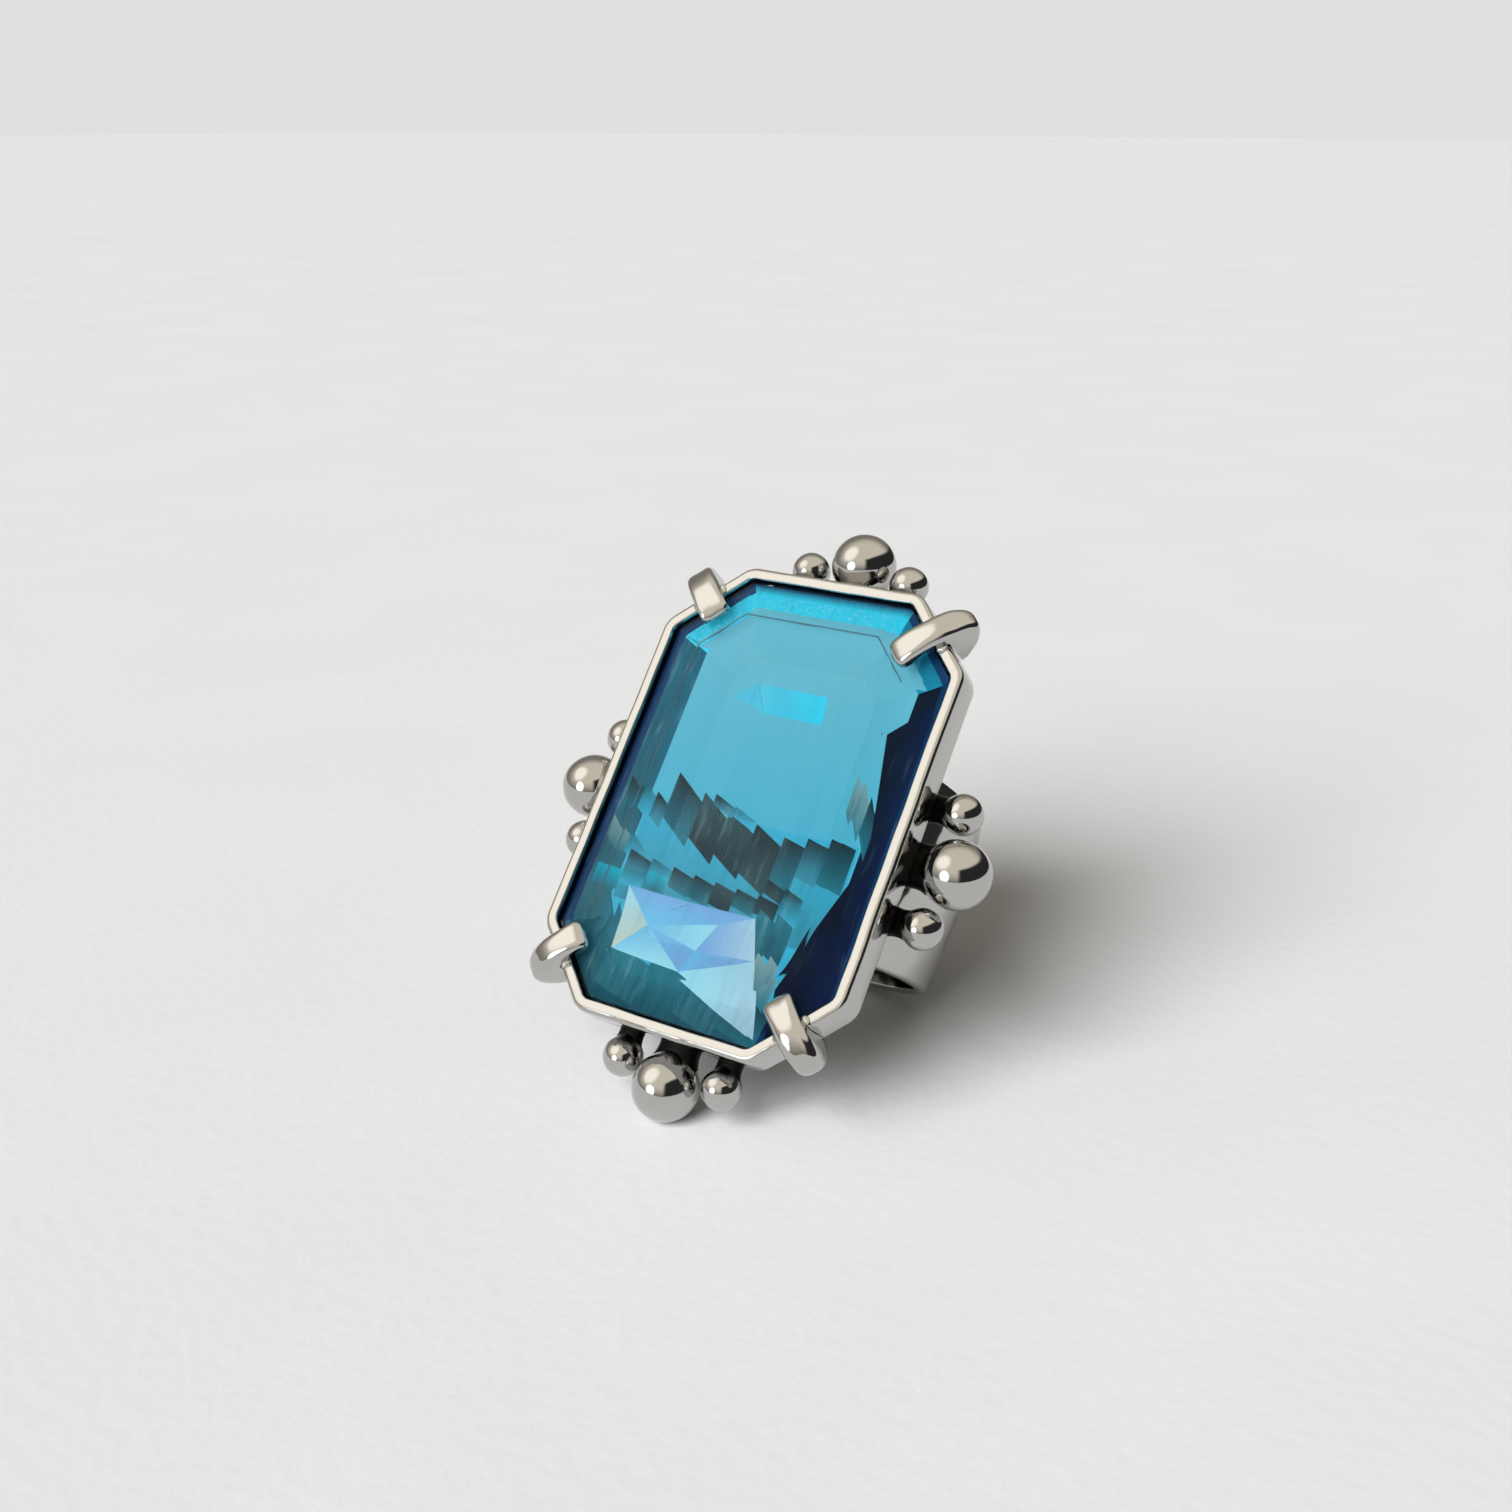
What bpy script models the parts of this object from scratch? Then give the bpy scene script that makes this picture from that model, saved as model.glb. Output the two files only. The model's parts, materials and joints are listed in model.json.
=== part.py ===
"""Cocktail ring: a large cut-corner glass stone in a soldered metal head on a wide tapered shank.

Every piece is modelled in the head's own frame, in metres: X across the stone, Y along it, which is
also the finger's direction, and Z out of the stone, with Z = 0 on top of the bezel's rim. One empty
then lays the whole ring down as it lies on a table: on its lowest big ball and on the edge of the shank.
"""

import math

import bmesh
import bpy
from mathutils import Matrix, Vector

MM = 0.001

# Stone
STONE_WIDTH = 20.6 * MM
STONE_LENGTH = 29.5 * MM
STONE_CORNER = 4.27 * MM
STONE_SINK = 0.45 * MM
CROWN_WIDTH = 2.7 * MM
CROWN_HEIGHT = 0.95 * MM
GIRDLE_HEIGHT = 0.6 * MM
PAVILION_DEPTH = 2.2 * MM
PAVILION_INSET = 7.2 * MM
PAVILION_STEPS = 3
FOIL_THICKNESS = 0.12 * MM
FOIL_EDGE_CLEARANCE = 0.9 * MM

# Bezel, ledge and base
STONE_CLEARANCE = 0.1 * MM
SOLDER_GAP = 0.05 * MM
RIM_WIDTH = 0.8 * MM
RIM_ROUNDING = 0.2 * MM
WALL_HEIGHT = 2.4 * MM
CORNER_ROUNDING = 0.6 * MM
LEDGE_WIDTH = 0.8 * MM
BASE_LIP = 0.35 * MM
BASE_TAPER = 1.05 * MM
BASE_FLOOR = 0.45 * MM
POCKET_CLEARANCE = 0.2 * MM

# Claws, one at each cut corner
CLAW_WIDTH = 2.0 * MM
CLAW_BULGE = 2.2 * MM
CLAW_ABOVE_TABLE = 0.55 * MM
CLAW_BEND_DROP = 0.7 * MM
CLAW_FOOT_DROP = 0.2 * MM
CLAW_GRIP_SHARE = 0.62
LONG_CLAW_GRIP_SHARE = 0.95
LOW_CLAW_SHIFT = 0.7 * MM
CLAW_FOOT_ANGLE = math.radians(-65)
CLAW_RIM_ANGLE = math.radians(45)
CLAW_TIP_ANGLE = math.radians(128)
CLAW_STATIONS = 15

# Ball clusters, one at the middle of each side
BIG_BALL_RADIUS = 2.15 * MM
SMALL_BALL_RADIUS = 1.3 * MM
BIG_BALL_STANDOFF = 0.4 * MM
SMALL_BALL_STANDOFF = 0.3 * MM
BALL_TO_BALL_GAP = 0.4 * MM
POST_RADIUS = 0.65 * MM
SIDE_CLUSTER_SHIFT = 0.75 * MM

# Shank
FINGER_DIAMETER = 16.5 * MM
SHANK_THICKNESS = 1.2 * MM
SHANK_EDGE_THICKNESS = 0.75 * MM
SHANK_UNDER_HEAD = 0.45 * MM
SHANK_WIDTH_AT_HEAD = 13.8 * MM
SHANK_WIDTH_AT_BACK = 11.2 * MM
SHANK_STATIONS = 56
SHANK_DOME_POINTS = 7

# Levels along Z, from the rim down
GIRDLE_TOP = -STONE_SINK
TABLE_LEVEL = GIRDLE_TOP + CROWN_HEIGHT
GIRDLE_BOTTOM = GIRDLE_TOP - GIRDLE_HEIGHT
KEEL_LEVEL = GIRDLE_BOTTOM - PAVILION_DEPTH
BASE_TOP = -WALL_HEIGHT - SOLDER_GAP
POCKET_FLOOR = KEEL_LEVEL - FOIL_THICKNESS - 2 * SOLDER_GAP
BASE_BOTTOM = POCKET_FLOOR - BASE_FLOOR
BALL_LEVEL = -WALL_HEIGHT - SOLDER_GAP - POST_RADIUS
SHANK_TOP = BASE_BOTTOM - SOLDER_GAP
FINGER_RADIUS = FINGER_DIAMETER / 2
FINGER_CENTRE = SHANK_TOP - SHANK_UNDER_HEAD - FINGER_RADIUS

# Distances outside the stone's girdle
WALL_INSIDE = STONE_CLEARANCE
WALL_OUTSIDE = STONE_CLEARANCE + RIM_WIDTH
BASE_OUTSIDE = WALL_INSIDE + BASE_LIP
FOIL_INSET = LEDGE_WIDTH + FOIL_EDGE_CLEARANCE
POCKET_INSET = LEDGE_WIDTH + POCKET_CLEARANCE

# The half-round section of a claw: (share of the half width, share of the height)
CLAW_DOME = [(-1.0, 0.0), (-1.0, 0.5), (-0.72, 0.86), (0.0, 1.0), (0.72, 0.86), (1.0, 0.5), (1.0, 0.0)]

ARC_POINTS = 3
CORNER_TURN = math.radians(45)
ROUND_SIDES = 14
BALL_DIVISIONS = 3
LEAN_HALVINGS = 50
SMOOTH_ANGLE = math.radians(40)


def clear_scene():
    for item in list(bpy.data.objects):
        bpy.data.objects.remove(item, do_unlink=True)


def make_material(name, colour, roughness, metallic):
    material = bpy.data.materials.new(name)
    material.use_nodes = True
    shader = material.node_tree.nodes["Principled BSDF"]
    shader.inputs["Base Color"].default_value = (*colour, 1.0)
    shader.inputs["Roughness"].default_value = roughness
    shader.inputs["Metallic"].default_value = metallic
    return material


def finish_object(name, mesh_builder, material, parent):
    """Turn a bmesh into a named, smoothly shaded object under the ring's empty."""
    bmesh.ops.recalc_face_normals(mesh_builder, faces=mesh_builder.faces[:])
    mesh = bpy.data.meshes.new(name)
    mesh_builder.to_mesh(mesh)
    mesh_builder.free()
    mesh.shade_smooth()
    mesh.set_sharp_from_angle(angle=SMOOTH_ANGLE)
    mesh.materials.append(material)
    piece = bpy.data.objects.new(name, mesh)
    piece.parent = parent
    bpy.context.scene.collection.objects.link(piece)
    return piece


def octagon(width, length, corner):
    """The eight corners of a cut-corner rectangle, anticlockwise from the right side's lower end."""
    x = width / 2
    y = length / 2
    return [
        Vector((x, -y + corner)),
        Vector((x, y - corner)),
        Vector((x - corner, y)),
        Vector((-x + corner, y)),
        Vector((-x, y - corner)),
        Vector((-x, -y + corner)),
        Vector((-x + corner, -y)),
        Vector((x - corner, -y)),
    ]


def offset_corner(offset):
    """The corner cut of the girdle's outline moved outwards by this distance."""
    return STONE_CORNER + offset * (2 - math.sqrt(2))


def girdle_outline(offset):
    return octagon(STONE_WIDTH + 2 * offset, STONE_LENGTH + 2 * offset, offset_corner(offset))


def rounded_outline(offset):
    """The same outline with an arc at each corner, parallel to every other offset's arcs."""
    radius = max(CORNER_ROUNDING + offset - WALL_INSIDE, SOLDER_GAP)
    corners = girdle_outline(offset)
    setback = radius * math.tan(CORNER_TURN / 2)
    points = []
    for index, corner in enumerate(corners):
        back = (corners[index - 1] - corner).normalized()
        ahead = (corners[(index + 1) % len(corners)] - corner).normalized()
        inwards = (back + ahead).normalized()
        centre = corner + inwards * (setback / math.sin(CORNER_TURN / 2))
        start = corner + back * setback - centre
        for step in range(ARC_POINTS):
            turn = CORNER_TURN * step / (ARC_POINTS - 1)
            points.append(centre + Matrix.Rotation(turn, 2) @ start)
    return points


def loft(builder, loops, closed_section=False):
    """Skin a list of equally long point loops: capped at both ends, or joined end to start."""
    rings = [[builder.verts.new(point) for point in loop] for loop in loops]
    count = len(rings[0])
    pairs = list(zip(rings, rings[1:]))
    if closed_section:
        pairs.append((rings[-1], rings[0]))
    else:
        builder.faces.new(rings[0])
        builder.faces.new(rings[-1])
    for lower, upper in pairs:
        for index in range(count):
            following = (index + 1) % count
            builder.faces.new((lower[index], lower[following], upper[following], upper[index]))


def at_level(outline, level):
    return [Vector((point.x, point.y, level)) for point in outline]


def pavilion_loop(step, drop=0.0):
    """One step of the stone's back, or the same step lowered, for the foil that follows it."""
    share = step / PAVILION_STEPS
    inset = PAVILION_INSET * share
    level = GIRDLE_BOTTOM - PAVILION_DEPTH * math.sin(share * math.pi / 2) - drop
    corner = STONE_CORNER * (1 - share * PAVILION_STEPS / (PAVILION_STEPS + 1))
    return at_level(octagon(STONE_WIDTH - 2 * inset, STONE_LENGTH - 2 * inset, corner), level)


def pavilion_point(inset):
    """The level of the stone's back at a given distance inside its girdle, on the first step."""
    first = PAVILION_INSET / PAVILION_STEPS
    drop = PAVILION_DEPTH * math.sin(math.pi / 2 / PAVILION_STEPS)
    return GIRDLE_BOTTOM - drop * inset / first


def make_stone(material, parent):
    builder = bmesh.new()
    loops = [
        at_level(girdle_outline(-CROWN_WIDTH), TABLE_LEVEL),
        at_level(girdle_outline(0), GIRDLE_TOP),
    ]
    loops += [pavilion_loop(step) for step in range(PAVILION_STEPS + 1)]
    loft(builder, loops)
    return finish_object("stone", builder, material, parent)


def foil_edge(drop):
    return at_level(girdle_outline(-FOIL_INSET), pavilion_point(FOIL_INSET) - drop)


def make_foil_backing(material, parent):
    """A thin reflecting cup under the stone's back."""
    builder = bmesh.new()
    near = SOLDER_GAP
    far = SOLDER_GAP + FOIL_THICKNESS
    steps = range(1, PAVILION_STEPS + 1)
    upper = [foil_edge(near)] + [pavilion_loop(step, near) for step in steps]
    lower = [foil_edge(far)] + [pavilion_loop(step, far) for step in steps]
    loft(builder, upper[::-1] + lower)
    return finish_object("foil_backing", builder, material, parent)


def make_bezel_wall(material, parent):
    builder = bmesh.new()
    section = [
        (WALL_INSIDE, -WALL_HEIGHT),
        (WALL_INSIDE, 0.0),
        (WALL_OUTSIDE - RIM_ROUNDING, 0.0),
        (WALL_OUTSIDE, -RIM_ROUNDING),
        (WALL_OUTSIDE, -WALL_HEIGHT + RIM_ROUNDING),
        (WALL_OUTSIDE - RIM_ROUNDING, -WALL_HEIGHT),
    ]
    loft(builder, [at_level(rounded_outline(offset), level) for offset, level in section], True)
    return finish_object("bezel_wall", builder, material, parent)


def make_bearing_ledge(material, parent):
    """The strip inside the wall that the stone's back rests on."""
    builder = bmesh.new()
    outside = WALL_INSIDE - SOLDER_GAP
    section = [
        (outside, BASE_TOP + SOLDER_GAP),
        (outside, GIRDLE_BOTTOM - SOLDER_GAP),
        (0.0, GIRDLE_BOTTOM - SOLDER_GAP),
        (-LEDGE_WIDTH, pavilion_point(LEDGE_WIDTH) - SOLDER_GAP),
        (-LEDGE_WIDTH, BASE_TOP + SOLDER_GAP),
    ]
    loft(builder, [at_level(girdle_outline(offset), level) for offset, level in section], True)
    return finish_object("bearing_ledge", builder, material, parent)


def make_base_plate(material, parent):
    """The closed back under the wall, with a pocket for the stone's back and a tapered edge."""
    builder = bmesh.new()
    section = [
        (-POCKET_INSET, POCKET_FLOOR),
        (-POCKET_INSET, BASE_TOP),
        (BASE_OUTSIDE, BASE_TOP),
        (BASE_OUTSIDE - BASE_TAPER, BASE_BOTTOM),
    ]
    loft(builder, [at_level(girdle_outline(offset), level) for offset, level in section])
    return finish_object("base_plate", builder, material, parent)


def over_crown(outwards):
    """The lowest level a claw may have at this distance outside the wall's face."""
    crown = GIRDLE_TOP - CROWN_HEIGHT * (WALL_OUTSIDE + outwards) / CROWN_WIDTH
    return max(0.0, min(crown, TABLE_LEVEL)) + SOLDER_GAP


def claw_section(angle, reach):
    """One half-round slice of a claw: points (outwards from the wall's face, sideways, up).

    Its back runs on two joined ellipses, and its inner side up the wall, over the rim and on the crown.
    """
    foot = WALL_HEIGHT + CLAW_FOOT_DROP
    tip = Vector((-reach, 0.0, over_crown(-reach)))
    spread = (CLAW_BULGE + reach) / (1 - math.cos(CLAW_TIP_ANGLE))
    if angle < 0:
        height = (foot - CLAW_BEND_DROP) / math.sin(-CLAW_FOOT_ANGLE)
    else:
        height = TABLE_LEVEL + CLAW_ABOVE_TABLE + CLAW_BEND_DROP
    back = Vector((
        CLAW_BULGE - spread * (1 - math.cos(angle)),
        0.0,
        height * math.sin(angle) - CLAW_BEND_DROP,
    ))
    if angle < CLAW_RIM_ANGLE:
        share = (angle - CLAW_FOOT_ANGLE) / (CLAW_RIM_ANGLE - CLAW_FOOT_ANGLE)
        seat = Vector((SOLDER_GAP, 0.0, -foot + (foot + SOLDER_GAP) * share))
    else:
        share = (angle - CLAW_RIM_ANGLE) / (CLAW_TIP_ANGLE - CLAW_RIM_ANGLE)
        seat = Vector((SOLDER_GAP, 0.0, SOLDER_GAP)).lerp(tip, share)
    points = []
    for side, rise in CLAW_DOME:
        point = seat.lerp(back, rise)
        point.y = side * CLAW_WIDTH / 2
        points.append(point)
    return points


def make_claw(name, x_side, y_side, shift, grip_share, material, parent):
    builder = bmesh.new()
    reach = WALL_OUTSIDE + CROWN_WIDTH * grip_share
    step = (CLAW_TIP_ANGLE - CLAW_FOOT_ANGLE) / (CLAW_STATIONS - 1)
    angles = [CLAW_FOOT_ANGLE + step * station for station in range(CLAW_STATIONS)]
    loft(builder, [claw_section(angle, reach) for angle in angles])
    corner = offset_corner(WALL_OUTSIDE) / 2
    place = Matrix.Translation((
        x_side * (STONE_WIDTH / 2 + WALL_OUTSIDE - corner),
        y_side * (STONE_LENGTH / 2 + WALL_OUTSIDE - corner),
        0.0,
    ))
    turn = Matrix.Rotation(math.atan2(y_side, x_side), 4, "Z")
    slide = Matrix.Translation((0.0, shift, 0.0))
    bmesh.ops.transform(builder, matrix=place @ turn @ slide, verts=builder.verts[:])
    return finish_object(name, builder, material, parent)


def make_ball(name, centre, radius, material, parent):
    builder = bmesh.new()
    bmesh.ops.create_icosphere(builder, subdivisions=BALL_DIVISIONS, radius=radius)
    bmesh.ops.translate(builder, vec=centre, verts=builder.verts[:])
    return finish_object(name, builder, material, parent)


def make_post(name, start, direction, length, ball_radius, material, parent):
    """A round peg from the base's edge to a ball, with its outer end cupped to the ball."""
    builder = bmesh.new()
    cup = ball_radius + SOLDER_GAP
    loops = []
    for radius in (POST_RADIUS, POST_RADIUS, POST_RADIUS / 2):
        if loops:
            height = length - math.sqrt(cup ** 2 - radius ** 2)
        else:
            height = 0.0
        loops.append([
            Vector((height, radius * math.cos(turn), radius * math.sin(turn)))
            for turn in (math.tau * side / ROUND_SIDES for side in range(ROUND_SIDES))
        ])
    loft(builder, loops)
    turn = Matrix.Rotation(math.atan2(direction.y, direction.x), 4, "Z")
    bmesh.ops.transform(builder, matrix=Matrix.Translation(start) @ turn, verts=builder.verts[:])
    return finish_object(name, builder, material, parent)


def big_ball_offset():
    """How far a big ball's centre lies outside the wall's face."""
    return BIG_BALL_RADIUS + BIG_BALL_STANDOFF


def make_cluster(side, outwards, half_extent, shift, silver, dark, parent):
    """One big ball between two small ones, each on its own peg."""
    along = Vector((-outwards.y, outwards.x, 0.0))
    small_offset = SMALL_BALL_RADIUS + SMALL_BALL_STANDOFF
    reach = BIG_BALL_RADIUS + SMALL_BALL_RADIUS + BALL_TO_BALL_GAP
    spacing = math.sqrt(reach ** 2 - (big_ball_offset() - small_offset) ** 2)
    balls = [
        ("big", 0.0, big_ball_offset(), BIG_BALL_RADIUS),
        ("small_a", spacing, small_offset, SMALL_BALL_RADIUS),
        ("small_b", -spacing, small_offset, SMALL_BALL_RADIUS),
    ]
    peg_root = BASE_OUTSIDE + SOLDER_GAP
    for label, place, offset, radius in balls:
        root = outwards * (half_extent + peg_root) + along * (place + shift)
        root.z = BALL_LEVEL
        length = WALL_OUTSIDE + offset - peg_root
        make_ball(f"ball_{side}_{label}", root + outwards * length, radius, silver, parent)
        make_post(f"post_{side}_{label}", root, outwards, length, radius, dark, parent)


def shank_half_width(level):
    """Half the shank's width where its straight tapered side passes this level."""
    back = FINGER_CENTRE - FINGER_RADIUS - SHANK_THICKNESS
    share = (level - back) / (SHANK_TOP - back)
    return (SHANK_WIDTH_AT_BACK + (SHANK_WIDTH_AT_HEAD - SHANK_WIDTH_AT_BACK) * share) / 2


def shank_point(turn, across, radius):
    level = FINGER_CENTRE + radius * math.cos(turn)
    return Vector((radius * math.sin(turn), across * shank_half_width(level), level))


def shank_dome():
    """(share of the half width, radius) of the shank's rounded outer face, edge to edge."""
    places = []
    for index in range(SHANK_DOME_POINTS):
        across = -1 + 2 * index / (SHANK_DOME_POINTS - 1)
        crown = (SHANK_THICKNESS - SHANK_EDGE_THICKNESS) * (1 - across ** 2)
        places.append((across, FINGER_RADIUS + SHANK_EDGE_THICKNESS + crown))
    return places


def make_shank(material, parent):
    builder = bmesh.new()
    section = shank_dome() + [(1.0, FINGER_RADIUS), (-1.0, FINGER_RADIUS)]
    loops = []
    for station in range(SHANK_STATIONS):
        turn = math.tau * station / SHANK_STATIONS
        loops.append([shank_point(turn, across, radius) for across, radius in section])
    loft(builder, loops, True)
    everything = builder.verts[:] + builder.edges[:] + builder.faces[:]
    bmesh.ops.bisect_plane(
        builder, geom=everything, plane_co=(0, 0, SHANK_TOP), plane_no=(0, 0, 1), clear_outer=True
    )
    bmesh.ops.holes_fill(builder, edges=[edge for edge in builder.edges if edge.is_boundary], sides=0)
    return finish_object("shank", builder, material, parent)


def resting_lean():
    """The lean at which the lowest big ball and the shank's back edge touch one flat surface."""
    ball_y = -(STONE_LENGTH / 2 + WALL_OUTSIDE + big_ball_offset())
    back = [shank_point(math.pi, across, radius) for across, radius in shank_dome()]
    low = 0.0
    high = math.pi / 2
    for _ in range(LEAN_HALVINGS):
        lean = (low + high) / 2
        sine = math.sin(lean)
        cosine = math.cos(lean)
        ball = ball_y * sine + BALL_LEVEL * cosine - BIG_BALL_RADIUS
        shank = min(point.y * sine + point.z * cosine for point in back)
        if ball > shank:
            low = lean
        else:
            high = lean
    return lean


def stand_on_origin(root):
    """Lean the ring and put the middle of its box's bottom on the origin."""
    root.rotation_euler.x = resting_lean()
    bpy.context.view_layer.update()
    corners = [piece.matrix_world @ vertex.co for piece in root.children for vertex in piece.data.vertices]
    low = [min(corner[axis] for corner in corners) for axis in range(3)]
    high = [max(corner[axis] for corner in corners) for axis in range(3)]
    root.location = (-(low[0] + high[0]) / 2, -(low[1] + high[1]) / 2, -low[2])
    bpy.context.view_layer.update()


def main():
    clear_scene()
    root = bpy.data.objects.new("ring_at_rest", None)
    bpy.context.scene.collection.objects.link(root)
    glass = make_material("aqua_glass", (0.02, 0.35, 0.5), 0.03, 0.0)
    foil = make_material("blue_foil", (0.05, 0.5, 0.7), 0.25, 1.0)
    silver = make_material("polished_silver", (0.8, 0.78, 0.75), 0.08, 1.0)
    dark = make_material("blackened_silver", (0.1, 0.09, 0.09), 0.35, 1.0)

    make_stone(glass, root)
    make_foil_backing(foil, root)
    make_bezel_wall(silver, root)
    make_bearing_ledge(silver, root)
    make_base_plate(dark, root)
    make_shank(silver, root)
    make_claw("claw_top_left", -1, 1, 0.0, CLAW_GRIP_SHARE, silver, root)
    make_claw("claw_top_right", 1, 1, 0.0, LONG_CLAW_GRIP_SHARE, silver, root)
    make_claw("claw_bottom_left", -1, -1, -LOW_CLAW_SHIFT, CLAW_GRIP_SHARE, silver, root)
    make_claw("claw_bottom_right", 1, -1, 0.0, CLAW_GRIP_SHARE, silver, root)
    across = STONE_WIDTH / 2
    along = STONE_LENGTH / 2
    make_cluster("right", Vector((1, 0, 0)), across, -SIDE_CLUSTER_SHIFT, silver, dark, root)
    make_cluster("top", Vector((0, 1, 0)), along, 0.0, silver, dark, root)
    make_cluster("left", Vector((-1, 0, 0)), across, SIDE_CLUSTER_SHIFT, silver, dark, root)
    make_cluster("bottom", Vector((0, -1, 0)), along, 0.0, silver, dark, root)
    stand_on_origin(root)


main()
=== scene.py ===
# %% [markdown]
# # A cocktail ring
#
# The ring is a large cut-corner glass stone in a soldered silver head, with clusters of balls on
# its four sides, on a wide smooth band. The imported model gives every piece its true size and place.
# This script dresses those pieces for a picture: rounder metal, real facets, and finishes made of nodes.

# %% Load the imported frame
import json
import math

import bmesh
import bpy
from mathutils import Matrix, Vector, noise


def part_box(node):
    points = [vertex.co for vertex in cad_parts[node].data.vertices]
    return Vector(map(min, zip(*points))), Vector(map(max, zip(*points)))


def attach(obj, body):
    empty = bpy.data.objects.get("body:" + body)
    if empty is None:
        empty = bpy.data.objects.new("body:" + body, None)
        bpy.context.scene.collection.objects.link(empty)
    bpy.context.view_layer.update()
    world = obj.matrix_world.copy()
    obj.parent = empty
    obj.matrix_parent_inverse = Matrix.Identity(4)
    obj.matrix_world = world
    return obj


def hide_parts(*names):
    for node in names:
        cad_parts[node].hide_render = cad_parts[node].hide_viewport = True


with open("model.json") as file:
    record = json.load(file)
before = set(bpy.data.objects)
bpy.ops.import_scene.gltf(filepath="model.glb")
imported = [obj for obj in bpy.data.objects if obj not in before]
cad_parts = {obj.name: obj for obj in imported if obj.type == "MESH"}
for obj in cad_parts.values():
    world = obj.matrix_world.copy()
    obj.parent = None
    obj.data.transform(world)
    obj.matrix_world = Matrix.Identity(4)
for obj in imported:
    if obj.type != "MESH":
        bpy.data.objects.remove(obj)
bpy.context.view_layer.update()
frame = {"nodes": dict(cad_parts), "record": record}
print("packed nodes:", len(frame["nodes"]))

# %% [markdown]
# The ring leans back on the table, so its head is tilted. It is easier to model the head flat, in
# millimetres, with X across the stone, Y along it, Z out of it and Z = 0 on the rim's top. The packed
# record states where the stone's table is and which way it faces, and that gives one matrix, HEAD,
# which lays every finished piece in its real place. The objects themselves stay at the origin.

# %% The head's own frame
MM = 0.001
TABLE_LEVEL = 0.5
table_mount = next(mount for mount in frame["record"]["mounts"] if mount["name"] == "stone_table")
LEAN = math.atan2(-table_mount["axis"][1], table_mount["axis"][2])
HEAD = (
    Matrix.Translation(table_mount["pos_m"])
    @ Matrix.Rotation(LEAN, 4, "X")
    @ Matrix.Scale(MM, 4)
    @ Matrix.Translation((0, 0, -TABLE_LEVEL))
)
TO_HEAD = HEAD.inverted()
print("the head leans back by", round(math.degrees(LEAN), 1), "degrees")

# %% [markdown]
# The photograph looks down a little on the ring from its right. A camera that circles an aim point
# is easy to read: one direction from the aim point back to the camera, one distance and one lens.

# %% Camera
AIM = Vector((-0.08, -3.45, 20.72)) * MM
CAMERA_AZIMUTH = math.radians(33.33)
CAMERA_ELEVATION = math.radians(19.74)
CAMERA_DISTANCE = 112.6 * MM
CAMERA_LENS = 42.86
NEAREST_SEEN = CAMERA_DISTANCE / 20
FARTHEST_SEEN = CAMERA_DISTANCE * 100

camera_back = Vector((
    math.sin(CAMERA_AZIMUTH) * math.cos(CAMERA_ELEVATION),
    -math.cos(CAMERA_AZIMUTH) * math.cos(CAMERA_ELEVATION),
    math.sin(CAMERA_ELEVATION),
))
camera = bpy.data.objects.new("camera", bpy.data.cameras.new("camera"))
camera.data.lens = CAMERA_LENS
camera.data.clip_start = NEAREST_SEEN
camera.data.clip_end = FARTHEST_SEEN
camera.location = AIM + camera_back * CAMERA_DISTANCE
camera.rotation_mode = "QUATERNION"
camera.rotation_quaternion = (-camera_back).to_track_quat("-Z", "Y")
bpy.context.scene.collection.objects.link(camera)
bpy.context.scene.camera = camera
print("camera at", [round(value, 3) for value in camera.location])

# %% [markdown]
# Shader maths reads best as plain Python. A Wire wraps one output socket of a node: adding or
# multiplying wires adds a Math node to the same tree. Every other node comes from one method,
# Wire.node, which takes the node's type, its settings and what goes into its sockets.


# %% Node helper
class Wire:
    """An output socket that can take part in Python arithmetic."""

    def __init__(self, socket):
        self.socket = socket
        self.tree = socket.id_data

    @staticmethod
    def node(tree, kind, settings=None, inputs=None, output=0):
        """Add a node, set its settings first, then fill its sockets with values or wires."""
        made = tree.nodes.new(kind)
        for name, value in (settings or {}).items():
            setattr(made, name, value)
        for name, value in (inputs or {}).items():
            if isinstance(value, Wire):
                tree.links.new(value.socket, made.inputs[name])
            else:
                made.inputs[name].default_value = value
        return Wire(made.outputs[output])

    def maths(self, operation, first, second):
        return Wire.node(self.tree, "ShaderNodeMath", {"operation": operation}, {0: first, 1: second})

    def __add__(self, other):
        return self.maths("ADD", self, other)

    def __sub__(self, other):
        return self.maths("SUBTRACT", self, other)

    def __rsub__(self, other):
        return self.maths("SUBTRACT", other, self)

    def __mul__(self, other):
        return self.maths("MULTIPLY", self, other)

    __radd__ = __add__
    __rmul__ = __mul__


print("wires take part in", [name for name in ("add", "sub", "mul") if hasattr(Wire, f"__{name}__")])

# %% [markdown]
# The finishes of this ring share a few steps: a colour as a screen shows it, a blend of two colours, a
# smooth change between two values, and noise that lies still on the object. Each is a small function, so
# a finish later reads as a list of what is done to the metal, the glass or the foil.


# %% Shader steps
def linear(red, green, blue):
    """A colour written in the 0 to 255 steps of a screen, as the linear numbers that shaders use."""
    return tuple((step / 255 / 12.92 if step < 10 else ((step / 255 + 0.055) / 1.055) ** 2.4)
                 for step in (red, green, blue))


def mix(factor, first, second):
    """Blend two colours by a factor wire; each colour is a wire or three numbers."""
    colours = [value if isinstance(value, Wire) else (*value, 1.0) for value in (first, second)]
    return Wire.node(factor.tree, "ShaderNodeMix", {"data_type": "RGBA"},
                     {0: factor, 6: colours[0], 7: colours[1]}, 2)


def fade(wire, start, end):
    """0 before start, 1 after end and a smooth change between them."""
    return Wire.node(wire.tree, "ShaderNodeMapRange", {"interpolation_type": "SMOOTHSTEP"},
                     {"Value": wire, "From Min": start, "From Max": end})


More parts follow.
